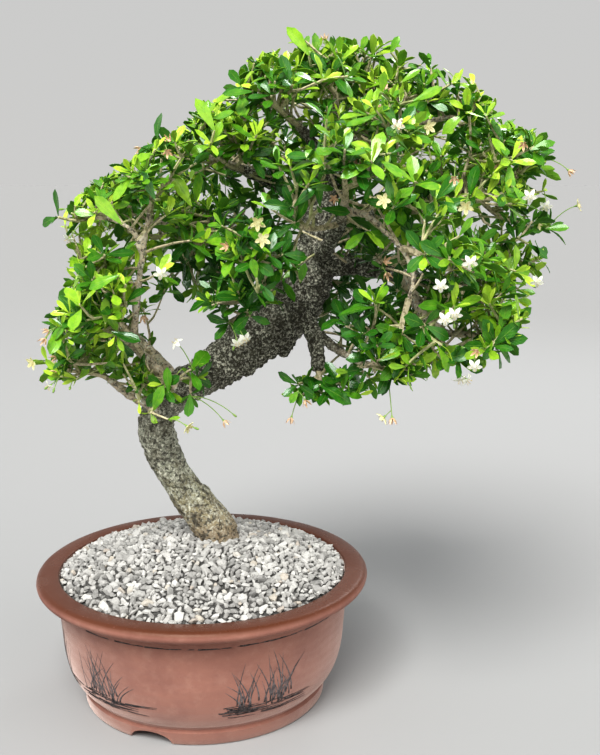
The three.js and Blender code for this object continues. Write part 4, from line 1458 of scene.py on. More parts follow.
    def _add_wood_shoots(self, shoots: list[Shoot], draw: Draw) -> None:
        """Give the branch that ends in this spray its short leafy shoots, which the solid leaves out.

        Args:
            shoots: the spray's shoots so far, which get the short ones.
            draw: the stream that they are drawn from.
        """
        course = WOOD_LINES[self.seat.on]
        first = 0.8 if self.seat.on == "trunk" else 0.15
        count = round((1 - first) * course.marks[-1] / self.wood_gap)
        for k in range(count):
            start = course.point_at(mix(first, 1.0, (k + draw.next()) / count))
            way = (draw.heading() + UP * 0.35).normalized()
            shoot = self._sprout(start, way, self.wood_growth, draw)
            if shoot is not None:
                shoots.append(shoot)

    def mesh(self, shoots: Sequence[Shoot], pattern: LeafPattern, fine: dict, plain: dict) -> Shape:
        """Build the spray.

        Args:
            shoots: its planned shoots.
            pattern: the leaf that all are copied from.
            fine: the leaf's mesh in each form.
            plain: the same with fewer faces, for leaves deep in the crown.

        Returns:
            The working mesh, with twigs as material 0 and leaves as material 1.
        """
        spray = bmesh.new()
        spray.loops.layers.uv.new("UVMap")
        youth = spray.verts.layers.float.new("tone")
        spray.faces.layers.float.new("below")
        grown = 0
        for shoot in shoots:
            sides = 5 if shoot.radii[0] > self.fine_radii[0] else 4
            add_tube(spray, shoot.course, shoot.radii, sides, shoot.steps)
            spray.verts.ensure_lookup_table()
            for corner in spray.verts[grown:]:
                corner[youth] = shoot.youth
            grown = len(spray.verts)
        bmesh.ops.recalc_face_normals(spray, faces=spray.faces)
        for leaf in (leaf for shoot in shoots for leaf in shoot.leaves):
            shape = (plain if lies_deep(leaf.base) else fine)[leaf.form]
            add_copy(spray, shape, leaf.place(pattern), leaf.tone)
        return spray


# Flowers


class Stage(Enum):
    """How far a flower has come, numbered as its petals' material is."""

    OPEN = 1
    CREAM = 2
    FADED = 3
    BUD = 0


DROOPS = {Stage.OPEN: 0.35, Stage.CREAM: -0.3, Stage.FADED: -0.9}


@dataclass
class Cyme:
    """A thin stalk that bears flowers or buds."""

    start: Vector
    end: Vector
    stages: Sequence[Stage]
    seed: int = 1
    stalk_radius: float = 0.32
    petal_length: float = 4.4
    petal_width: float = 2.8
    petal_outline: tuple[float, ...] = (0.45, 0.9, 1.0, 0.8, 0.12)
    petals: int = 5
    anther_material: int = 4

    def add_to(self, mesh: Shape) -> None:
        """Build the stalk and what it bears.

        Args:
            mesh: the mesh that gets them. Material 0 is the stalk, then come open, cream and faded petals.
        """
        draw = Draw(self.seed)
        reach = (self.end - self.start).length
        leave = self.start.lerp(self.end, 0.4) + UP * (0.15 * reach)
        stalk = Course.bend(self.start, leave, self.start.lerp(self.end, 0.75) + UP * (0.1 * reach), self.end)
        add_tube(mesh, stalk, (self.stalk_radius * 1.3, self.stalk_radius), 5, 7)
        self._add_head(mesh, stalk.frames(6)[-1], self.stages[0], draw)
        for k, stage in enumerate(self.stages[1:]):
            share = 0.9 - 0.22 * k
            fork = stalk.point_at(share)
            way = (stalk.heading_at(share) * 0.7 + draw.heading()).normalized()
            end = fork + way * draw.between(4.5, 9)
            side = Course.bend(fork, fork.lerp(end, 0.4), fork.lerp(end, 0.7), end, divisions=8)
            add_tube(mesh, side, (self.stalk_radius, self.stalk_radius * 0.8), 5, 3)
            self._add_head(mesh, side.frames(2)[-1], stage, draw)

    def _add_head(self, mesh: Shape, place: Matrix, stage: Stage, draw: Draw) -> None:
        """Build one flower or bud at the end of its stalk.

        Args:
            mesh: the mesh that gets it.
            place: the end of the stalk.
            stage: how far the flower has come.
            draw: the stream that it is drawn from.
        """
        bloom = bmesh.new()
        add_cone(bloom, Matrix.Translation((0, 0, 0.8)), 8, 0.35, 0.95, 2.2)
        if stage is Stage.BUD:
            egg = Matrix.Translation((0, 0, 2.4)) @ Matrix.Diagonal((0.8, 0.8, 1.5, 1))
            bmesh.ops.create_icosphere(bloom, subdivisions=2, radius=1.0, matrix=egg)
        else:
            self._add_petals(bloom, stage)
            self._add_stamens(bloom, draw)
        bmesh.ops.recalc_face_normals(bloom, faces=bloom.faces)
        head = mesh_of("head", bloom)
        head.transform(place)
        mesh.from_mesh(head)
        bpy.data.meshes.remove(head)

    def _add_petals(self, bloom: Shape, stage: Stage) -> None:
        """Build the petals on a short tube.

        Args:
            bloom: the flower, which gets them.
            stage: how far it has come.
        """
        droop = DROOPS[stage]
        shrink = 0.6 if stage is Stage.FADED else 1.0
        known = set(bloom.faces)
        grid = bmesh.ops.create_grid(bloom, x_segments=2, y_segments=4, size=1.0)
        for corner in grid["verts"]:
            along = (corner.co.y + 1) / 2
            width = read_off(self.petal_outline, along) * self.petal_width * shrink / 2
            reach = 0.7 + along * self.petal_length * shrink
            lift = 2.4 - droop * along * along * self.petal_length + 0.25 * abs(corner.co.x)
            corner.co = Vector((corner.co.x * width, reach, lift))
        petal = list({face for corner in grid["verts"] for face in corner.link_faces})
        bmesh.ops.solidify(bloom, geom=petal, thickness=0.22)
        petal = [face for face in bloom.faces if face not in known]
        others = self.petals - 1
        angle = math.tau * others / self.petals
        bmesh.ops.spin(bloom, geom=petal, steps=others, angle=angle, use_duplicate=True, **ABOUT_Z)
        add_cone(bloom, Matrix.Translation((0, 0, 2.1)), 8, 0.7, 1.2, 1.2)
        for face in set(bloom.faces) - known:
            face.material_index = stage.value

    def _add_stamens(self, bloom: Shape, draw: Draw) -> None:
        """Build the stamens between the petals.

        Args:
            bloom: the flower, which gets them.
            draw: the stream that their lean is drawn from.
        """
        known = set(bloom.faces)
        for k in range(self.petals):
            turn = Matrix.Rotation(math.tau * (k + 0.5) / self.petals, 4, "Z")
            lean = turn @ Matrix.Rotation(draw.between(0.3, 0.6), 4, "X")
            add_cone(bloom, lean @ Matrix.Translation((0, 0, 3.6)), 4, 0.16, 0.12, 2.4)
            knob = lean @ Matrix.Translation((0, 0, 4.9))
            bmesh.ops.create_icosphere(bloom, subdivisions=1, radius=0.32, matrix=knob)
        for face in set(bloom.faces) - known:
            face.material_index = self.anther_material


# Wood


@dataclass
class Wood:
    """The trunk and its branches, grown together under one ridged bark."""

    dressing: Dressing
    voxel: float = 1.35
    trunk_sides: int = 24
    branch_sides: int = 12
    smoothing: int = 4
    lump: float = 1.3
    ridge: float = 0.7
    crag: float = 2.4
    moss_height: float = 205.0
    moss_fade: float = 35.0
    knots: tuple[tuple[float, float, float, float], ...] = (
        (0.17, 2.2, 6.0, 4.0), (0.31, 0.6, 7.5, 5.0), (0.44, 3.6, 7.0, 4.0), (0.56, 5.0, 8.5, 6.0),
        (0.60, 1.4, 8.0, 7.0), (0.66, 3.0, 6.0, 6.0), (0.72, 5.6, 5.0, 7.0), (0.80, 2.6, 4.5, 6.0),
    )

    def build(self) -> None:
        """Build the wood and set it in the frame."""
        rough = bmesh.new()
        add_tube(rough, WOOD_LINES["trunk"], TRUNK_RADII, self.trunk_sides, 80)
        for name, branch in BRANCHES.items():
            steps = 6 * (len(branch.route) - 1)
            add_tube(rough, WOOD_LINES[name], self._swell(branch), self.branch_sides, steps)
        self._add_knots(rough)
        bmesh.ops.recalc_face_normals(rough, faces=rough.faces)
        remesh = {"mode": "VOXEL", "voxel_size": self.voxel}
        skin = finished_copy(mesh_of("wood", rough), [("REMESH", remesh)])
        bark = bmesh.new()
        bark.from_mesh(skin)
        bpy.data.meshes.remove(skin)
        ways = {"use_axis_x": True, "use_axis_y": True, "use_axis_z": True}
        for _ in range(self.smoothing):
            bmesh.ops.smooth_vert(bark, verts=bark.verts, factor=0.5, **ways)
        self._ridge(bark)
        set_in_frame("bark_skin", mesh_of("bark_skin", bark), [self.dressing["bark"]], ["trunk"])

    @staticmethod
    def _swell(branch: Branch) -> list[float]:
        """Find a branch's radii, slimmer on a thin one.

        Args:
            branch: the branch.

        Returns:
            Nine radii along it, with a swelling where it leaves its bearer.
        """
        start, end = branch.radii
        slim = mix(0.78, 1.0, smooth_step((start - 3.5) / 3))
        return [mix(start, end, i / 8) * slim + 1.4 * math.exp(-i * 1.1) for i in range(9)]

    def _add_knots(self, rough: Shape) -> None:
        """Add the healed stubs of old branches to the trunk.

        Args:
            rough: the mesh that gets them.
        """
        places = WOOD_LINES["trunk"].frames(100)
        for share, turn, radius, length in self.knots:
            spot = places[round(share * 100)]
            way = spot.col[0].to_3d() * math.cos(turn) + spot.col[1].to_3d() * math.sin(turn)
            start = spot.translation
            end = start + way * (read_off(TRUNK_RADII, share) + length * 0.35)
            course = Course.bend(start, start.lerp(end, 0.3), start.lerp(end, 0.6), end)
            add_tube(rough, course, (radius, radius * 0.7), 12, 6)

    @staticmethod
    def _marks() -> list[tuple[Vector, Vector, float, float]]:
        """Mark the middle of the wood all along its lines.

        Returns:
            For each mark its place, the way the wood runs, its radius and how tan it is.
        """
        marks = []
        for name, course in WOOD_LINES.items():
            radii = TRUNK_RADII if name == "trunk" else BRANCHES[name].radii
            count = 120 if name == "trunk" else 40
            for share in (i / count for i in range(count + 1)):
                radius = read_off(radii, share)
                pale = 1.0 if name in TAN_BRANCHES else smooth_step((4.4 - radius) / 1.8)
                marks.append((course.point_at(share), course.heading_at(share), radius, pale))
        return marks

    def _ridge(self, bark: Shape) -> None:
        """Raise the bark's lumps, ridges and furrows, and note which wood is tan and where the furrows take
        painted shade.

        Args:
            bark: the wood's smooth skin.
        """
        marks = self._marks()
        tree = KDTree(len(marks))
        for index, mark in enumerate(marks):
            tree.insert(mark[0], index)
        tree.balance()
        tan = bark.verts.layers.float.new("tan")
        furrow_shade = bark.verts.layers.float.new("furrow_shade")
        bark.normal_update()
        moves = []
        for corner in bark.verts:
            near = tree.find_n(corner.co, 16)
            _, index, _ = min(near, key=lambda found: found[2] - marks[found[1]][2])
            _, heading, radius, pale = marks[index]
            drawn = corner.co - heading * (0.7 * corner.co.dot(heading))
            lump = noise.fractal(drawn / 13, 1.0, 2.0, 3)
            ridge = 1 - abs(noise.noise(drawn / 4.2)) * 2.2 - abs(noise.noise(drawn / 1.9)) * 0.7
            crag = noise.fractal(corner.co / 4.8, 0.9, 2.1, 3)
            size = min(1.0, radius / 13)
            mossy = smooth_step((corner.co.z - self.moss_height) / self.moss_fade)
            corner[tan] = pale
            # How deep the ridges sink into furrows, which the bark's material fills with painted shade.
            corner[furrow_shade] = smooth_step((0.35 - ridge) * 1.1) * smooth_step(size * 1.6) * (1 - 0.7 * mossy)
            rise = self.lump * lump + self.ridge * (ridge - 0.4) + self.crag * mix(0.25, 1.0, mossy) * crag
            moves.append((corner, corner.normal * (size * rise)))
        for corner, move in moves:
            corner.co += move


# Pot and stones


@dataclass
class ClayPot:
    """The round pot: a turned wall under a rolled rim, on a foot ring cut by three low arches."""

    dressing: Dressing
    height: float = 100.0
    lip_radius: float = 127.0
    lip_thickness: float = 9.0
    rim_inner_radius: float = 110.0
    waist_radius: float = 109.0
    waist_height: float = 55.0
    foot_radius: float = 93.5
    foot_width: float = 11.0
    foot_height: float = 9.5
    floor_thickness: float = 7.0
    inner_flare: float = 3.0
    arch_half_width: float = 16.5
    arch_height: float = 8.0
    arch_azimuths: tuple[float, ...] = (-110, 10, 130)
    drain_radius: float = 11.0
    drain_offset: float = 36.0
    turns: int = 200
    tufts: tuple[tuple[float, int], ...] = ((-128, 26), (-62, 34), (12, 20), (70, 28), (140, 24), (196, 30))
    reeds: tuple[Span, ...] = ((-12, 12), (30, 38), (-9, 9), (14, 38), (0.7, 1.5))
    water_lines: tuple[Span, ...] = ((-18, 12), (25, 34), (5, 14), (-1.5, 1.5), (0.5, 1.0))
    ring_strokes: int = 24
    ring_height: float = 81.5
    stroke_depth: float = 0.16

    def outer_wall(self) -> list[tuple[float, float]]:
        """Work out the wall's outline from the foot ring up to the rim.

        Returns:
            Its points, each as radius and height.
        """
        foot, bottom = self.foot_radius, self.foot_height
        groove = [(foot + 1, bottom), (foot - 1.2, bottom + 1.5), (foot, bottom + 4)]
        bowl = []
        for share in (i / 16 for i in range(1, 17)):
            rest = 1 - share
            radius = rest * rest * foot + 2 * rest * share * (self.waist_radius - 1.5)
            height = rest**2 * (bottom + 4) + 2 * rest * share * 22
            bowl.append((radius + share**2 * self.waist_radius, height + share**2 * self.waist_height))
        top = self.height - self.lip_thickness - 1
        upper = [(self.waist_radius + 3 * i / 8, mix(self.waist_height, top, i / 8)) for i in range(1, 9)]
        return [*groove, *bowl, *upper]

    def radius_at(self, height: float) -> float:
        """The wall's outer radius at a height.

        Args:
            height: the height above the table.

        Returns:
            The radius.
        """
        wall = self.outer_wall()
        for (low_radius, low), (high_radius, high) in zip(wall, wall[1:]):
            if low <= height <= high:
                return mix(low_radius, high_radius, (height - low) / (high - low))
        return self.waist_radius

    def profile(self) -> list[tuple[float, float]]:
        """Work out the pot's whole outline, from the middle of its underside to the middle of its floor.

        Returns:
            Its points, each as radius and height.
        """
        inner_foot = self.foot_radius - self.foot_width
        under = [(0, self.foot_height), (inner_foot - 2, self.foot_height), (inner_foot, 0.6)]
        under += [(inner_foot + 0.6, 0), (self.foot_radius - 0.8, 0), (self.foot_radius, 0.8)]
        lip = self.lip_thickness / 2
        centre = self.lip_radius - lip
        throat = self.height - self.lip_thickness
        rim = [(self.waist_radius + 5.5, throat - 0.4), (centre - 1, throat)]
        for i in range(9):
            turn = -math.pi / 2 + math.pi * i / 8
            rim.append((centre + lip * math.cos(turn), self.height - lip + lip * math.sin(turn)))
        rim += [(self.rim_inner_radius + 1.4, self.height), (self.rim_inner_radius + 0.4, self.height - 0.4)]
        floor = self.foot_height + self.floor_thickness
        reach = self.rim_inner_radius - self.inner_flare
        inside_wall = [(self.rim_inner_radius, self.height - 1.4), (reach, self.height / 2)]
        inside_wall += [(reach - 6, floor + 11), (reach - 21, floor), (0, floor)]
        return [*under, *self.outer_wall(), *rim, *inside_wall]

    def build(self) -> None:
        """Build the pot and set it in the frame."""
        pot = bmesh.new()
        corners = [pot.verts.new((radius, 0, height)) for radius, height in self.profile()]
        edges = [pot.edges.new(pair) for pair in zip(corners, corners[1:])]
        outline = [*corners, *edges]
        bmesh.ops.spin(pot, geom=outline, steps=self.turns, angle=math.tau, use_merge=True, **ABOUT_Z)
        bmesh.ops.remove_doubles(pot, verts=pot.verts, dist=0.01)
        bmesh.ops.recalc_face_normals(pot, faces=pot.faces)
        cutter_mesh = self._cutters()
        cutter = bpy.data.objects.new("cutter", cutter_mesh)
        bpy.context.scene.collection.objects.link(cutter)
        settings = {"operation": "DIFFERENCE", "solver": "EXACT", "object": cutter}
        data = finished_copy(mesh_of("clay_pot", pot), [("BOOLEAN", settings)])
        bpy.data.objects.remove(cutter)
        bpy.data.meshes.remove(cutter_mesh)
        data.set_sharp_from_angle(angle=math.radians(48))
        data.materials.clear()
        for face in data.polygons:
            face.material_index = int(face.center.z > self.height - self.lip_thickness - 0.5)
        set_in_frame("clay_pot", data, [self.dressing["clay"], self.dressing["rim"]], ["pot"])
        self._build_etching()

    def _cutters(self) -> bpy.types.Mesh:
        """Make the shapes that cut the arches and the drain holes.

        Returns:
            One mesh that holds them all.
        """
        cutters = bmesh.new()
        lie = Matrix.Rotation(math.pi / 2, 4, "Y") @ Matrix.Rotation(math.pi / 2, 4, "Z")
        out = Matrix.Translation((self.foot_radius - self.foot_width / 2, 0, 0))
        arch = Matrix.Diagonal((self.arch_half_width, self.arch_height, 3 * self.foot_width, 1))
        drain = Matrix.Diagonal((self.drain_radius, self.drain_radius, 4 * self.floor_thickness, 1))
        turns = [Matrix.Rotation(math.radians(azimuth), 4, "Z") for azimuth in self.arch_azimuths]
        places = [turn @ out @ lie @ arch for turn in turns]
        offsets = (-self.drain_offset, self.drain_offset)
        places += [Matrix.Translation((x, 0, self.foot_height)) @ drain for x in offsets]
        for place in places:
            add_cone(cutters, place, 48, 1, 1, 1)
        return mesh_of("cutter", cutters)

    def _build_etching(self) -> None:
        """Etch tufts of reeds over low water lines into the wall, under a ring of strokes.

        A stroke's limits are its azimuth about the tuft, its foot, its sway, its rise and its width.
        """
        etching = bmesh.new()
        draw = Draw(77)
        for middle, strokes in self.tufts:
            for limits in [self.reeds] * strokes + [self.water_lines] * strokes:
                azimuth, *sizes = (draw.between(*span) for span in limits)
                self._add_stroke(etching, middle + azimuth, *sizes)
        for k in range(self.ring_strokes):
            azimuth = 360 * k / self.ring_strokes + draw.about(0, 3)
            height = self.ring_height + draw.about(0, 0.3)
            self._add_stroke(etching, azimuth, height, sway=34, rise=0, width=0.8)
        bmesh.ops.recalc_face_normals(etching, faces=etching.faces)
        data = mesh_of("etched_reeds", etching)
        set_in_frame("etched_reeds", data, [self.dressing["etching"]])

    def _add_stroke(
        self, etching: Shape, azimuth: float, foot: float, sway: float, rise: float, width: float
    ) -> None:
        """Lay one tapered stroke on the wall.

        Args:
            etching: the mesh that gets the stroke.
            azimuth: where it starts, in degrees about the pot.
            foot: its lowest height.
            sway: how far it leans over, in degrees about the pot.
            rise: how high it stands.
            width: its width at the foot.
        """
        grid = bmesh.ops.create_grid(etching, x_segments=1, y_segments=6, size=1.0)
        for corner in grid["verts"]:
            share = (corner.co.y + 1) / 2
            half = width * (1 - share) ** 0.7 / 2 + 0.05
            turn = azimuth + sway * share**1.7
            height = foot + rise * share
            radius = self.radius_at(height) + 0.10
            spread = corner.co.x * half
            if abs(rise) < 3:
                height += spread
            else:
                turn += math.degrees(spread / radius)
            angle = math.radians(turn)
            corner.co = Vector((radius * math.cos(angle), radius * math.sin(angle), height))
        faces = list({face for corner in grid["verts"] for face in corner.link_faces})
        bmesh.ops.solidify(etching, geom=faces, thickness=self.stroke_depth)


@dataclass
class GravelBed:
    """The domed top dressing: a bed of fine gravel, dark with painted shade, under some thousands of crushed
    stones.
    """

    dressing: Dressing
    reach: float = 109.2
    edge_height: float = 97.5
    crown_height: float = 118.0
    bed_rings: int = 9
    bed_sides: int = 72
    trunk_foot: tuple[float, float, float] = (10.0, 18.0, 16.6)
    forms: int = 9
    sizes: tuple[tuple[int, float, float], ...] = ((230, 6.4, 9.4), (1300, 4.6, 6.4), (3000, 3.0, 4.6))
    stone_scale: float = 1.12
    spacing: float = 0.36
    tries: int = 14
    cell: float = 9.0

    def height_at(self, radius: float) -> float:
        """The dome's height at a distance from the pot's axis."""
        return mix(self.edge_height, self.crown_height, (1 - min(1, (radius / self.reach) ** 2)) ** 0.8)

    def build(self) -> None:
        """Build the bed and set it in the frame."""
        bed = bmesh.new()
        tone = bed.verts.layers.float.new("tone")
        add_cone(bed, Matrix(), self.bed_sides, self.reach, self.reach, 6)
        lid = max(bed.faces, key=lambda face: face.calc_center_median().z)
        ring = self.reach / self.bed_rings
        for _ in range(1, self.bed_rings):
            bmesh.ops.inset_region(bed, faces=[lid], thickness=ring, use_even_offset=True)
        for corner in bed.verts:
            top = self.height_at(math.hypot(corner.co.x, corner.co.y)) - 1.5
            corner.co.z = top if corner.co.z > 0 else self.edge_height - 7
            corner[tone] = 0.1
        # The bed takes the dark material of painted shade, which shows between the stones.
        for face in bed.faces:
            face.material_index = 1
        stones = self._stone_forms()
        for x, y, size, draw in self._places():
            self._add_stone(bed, stones, x, y, size, draw)
        data = mesh_of("gravel_bed", bed, smooth=False)
        materials = [self.dressing["stone"], self.dressing["grit"]]
        set_in_frame("gravel_bed", data, materials, ["gravel"])

    def _stone_forms(self) -> list[bpy.types.Mesh]:
        """Make a few angular stones, each the hull of points thrown on a ball.

        Returns:
            Their meshes, about 1 mm across.
        """
        forms = []
        for k in range(self.forms):
            draw = Draw(900 + k)
            stone = bmesh.new()
            stone.verts.layers.float.new("tone")
            ball = bmesh.ops.create_icosphere(stone, subdivisions=1, radius=0.5)
            for corner in ball["verts"]:
                way = (corner.co.normalized() + draw.heading() * 0.42).normalized()
                corner.co = way * draw.between(0.42, 0.56)
                corner.co.z *= 0.78
            shell = bmesh.ops.convex_hull(stone, input=stone.verts)
            spare = [item for item in shell["geom_interior"] if isinstance(item, bmesh.types.BMVert)]
            bmesh.ops.delete(stone, geom=spare, context="VERTS")
            slivers = [face for face in stone.faces if face.calc_area() < 1e-9]
            bmesh.ops.delete(stone, geom=slivers, context="FACES")
            bmesh.ops.recalc_face_normals(stone, faces=stone.faces)
            forms.append(mesh_of(f"stone_{k}", stone, smooth=False))
        return forms

    def _places(self) -> list[tuple[float, float, float, Draw]]:
        """Find where the stones lie, the large ones first, none much inside another.

        Returns:
            For each stone its two distances from the pot's axis, its size and its own stream.
        """
        draw = Draw(31)
        taken: dict[tuple[int, int], list[Point]] = {}
        places = []
        centre_x, centre_y, clear = self.trunk_foot
        for count, small, large in self.sizes:
            for _ in range(count):
                size = draw.between(small, large)
                for _ in range(self.tries):
                    radius = math.sqrt(draw.next()) * (self.reach - 0.35 * size)
                    turn = draw.between(0, math.tau)
                    x, y = radius * math.cos(turn), radius * math.sin(turn)
                    if math.hypot(x - centre_x, y - centre_y) < clear + 0.25 * size:
                        continue
                    column, row = int(x // self.cell), int(y // self.cell)
                    cells = [(column + i, row + j) for i in (-1, 0, 1) for j in (-1, 0, 1)]
                    near = [stone for cell in cells for stone in taken.get(cell, [])]
                    if any(math.hypot(x - a, y - b) < self.spacing * (size + c) for a, b, c in near):
                        continue
                    taken.setdefault((column, row), []).append((x, y, size))
                    places.append((x, y, size, Draw(len(places) + 2000)))
                    break
        return places

    def _add_stone(
        self, bed: Shape, forms: Sequence[bpy.types.Mesh], x: float, y: float, size: float, draw: Draw
    ) -> None:
        """Lay one stone on the dome.

        Args:
            bed: the mesh that gets the stone.
            forms: the forms that it may have.
            x: its distance to the right of the pot's axis.
            y: its distance behind it.
            size: how large it is.
            draw: its own stream.
        """
        form = forms[int(draw.next() * len(forms))]
        way = draw.heading()
        turn = Matrix.Rotation(draw.between(0, math.tau), 4, way)
        widths = [draw.between(*limits) for limits in ((0.85, 1.25), (0.75, 1.05), (0.6, 0.95))]
        height = self.height_at(math.hypot(x, y)) + draw.between(-0.9, 0.9) - 0.1 * size
        stretch = Matrix.Diagonal((*widths, 1))
        place = Matrix.Translation((x, y, height)) @ turn @ Matrix.Scale(self.stone_scale * size, 4) @ stretch
        add_copy(bed, form, place, draw.next())


# The plant


@dataclass(frozen=True)
class SolidCyme:
    """A flower stalk that a plain solid stands for: the spray that bears it, its length and its flowers."""

    spray: int
    length: float
    stages: tuple[Stage, ...]


SOLID_CYMES: list[SolidCyme] = [
    SolidCyme(0, 22, (Stage.OPEN, Stage.BUD, Stage.FADED)), SolidCyme(1, 18, (Stage.FADED, Stage.BUD)),
    SolidCyme(3, 24, (Stage.OPEN, Stage.BUD)), SolidCyme(6, 20, (Stage.OPEN,)),
    SolidCyme(21, 18, (Stage.CREAM, Stage.FADED)), SolidCyme(22, 18, (Stage.CREAM, Stage.BUD)),
    SolidCyme(31, 34, (Stage.FADED, Stage.CREAM)), SolidCyme(34, 22, (Stage.OPEN, Stage.OPEN)),
    SolidCyme(29, 16, (Stage.OPEN,)), SolidCyme(39, 18, (Stage.OPEN, Stage.BUD)),
]

# Flowers between the leaves, as seen from the camera on the plane y = 0

SEEN_FLOWERS: dict[Stage, list[tuple[float, float]]] = {
    Stage.OPEN: [
        (-28, 327), (-16, 273), (66, 272), (145, 433), (206, 258), (183, 293), (190, 297), (179, 318),
        (254, 376), (200, 335), (250, 321), (242, 383), (28, 276), (33, 279),
    ],
    Stage.CREAM: [
        (137, 380), (44, 364), (47, 352), (275, 375), (166, 432), (196, 376), (-124, 260), (-12, 211),
    ],
    Stage.FADED: [
        (268, 402), (-114, 279), (-42, 295), (16, 216), (69, 219), (90, 352), (100, 381), (187, 396),
        (236, 420), (-21, 415), (208, 269),
    ],
    Stage.BUD: [(-110, 240), (-98, 241), (24, 220)],
}

# Thin places between the solid sprays, seen in the same way, where more leaves hang further back

THIN_PLACES = [
    (-25, 320), (-10, 331), (1, 316), (-36, 349), (-50, 331), (12, 330), (12, 405), (1, 394), (20, 394),
    (73, 450), (42, 408), (104, 312), (97, 298), (112, 322), (30, 322), (150, 352), (170, 300),
]

# The large leaves that stand out, seen in the same way: foot, tip and tone

ACCENT_LEAVES = [
    (82, 480, 67, 501, 0.72), (14, 428, 2, 452, 0.7), (103, 482, 103, 494, 0.66), (118, 484, 122, 494, 0.6),
    (139, 482, 144, 494, 0.6), (133, 454, 135, 470, 0.66), (147, 462, 160, 472, 0.66),
    (42, 456, 21, 457, 0.45), (-4, 375, -19, 401, 0.8), (-1, 378, 2, 399, 0.6), (-30, 379, -40, 401, 0.3),
    (-55, 362, -75, 382, 0.7), (-58, 325, -82, 316, 0.6), (-70, 288, -70, 307, 0.7),
    (-66, 283, -44, 275, 0.2), (-24, 236, -25, 255, 0.5), (223, 282, 230, 305, 0.5),
    (254, 359, 272, 359, 0.6), (242, 348, 258, 338, 0.3), (241, 415, 258, 423, 0.5),
    (155, 449, 177, 458, 0.66), (229, 390, 240, 378, 0.6), (89, 243, 115, 230, 0.3), (45, 319, 55, 305, 0.2),
    (43, 322, 40, 337, 0.6), (75, 319, 78, 333, 0.5), (31, 308, 12, 308, 0.2), (89, 242, 79, 231, 0.3),
    (74, 238, 67, 229, 0.6),
]


def way_to(tip: Vector, spot: tuple[float, float]) -> float:
    """How far a shoot's end is from a spot that the camera sees, plus a tenth of how far back it lies."""
    return math.dist(seen_from_camera(tip), spot) + 0.1 * tip.y


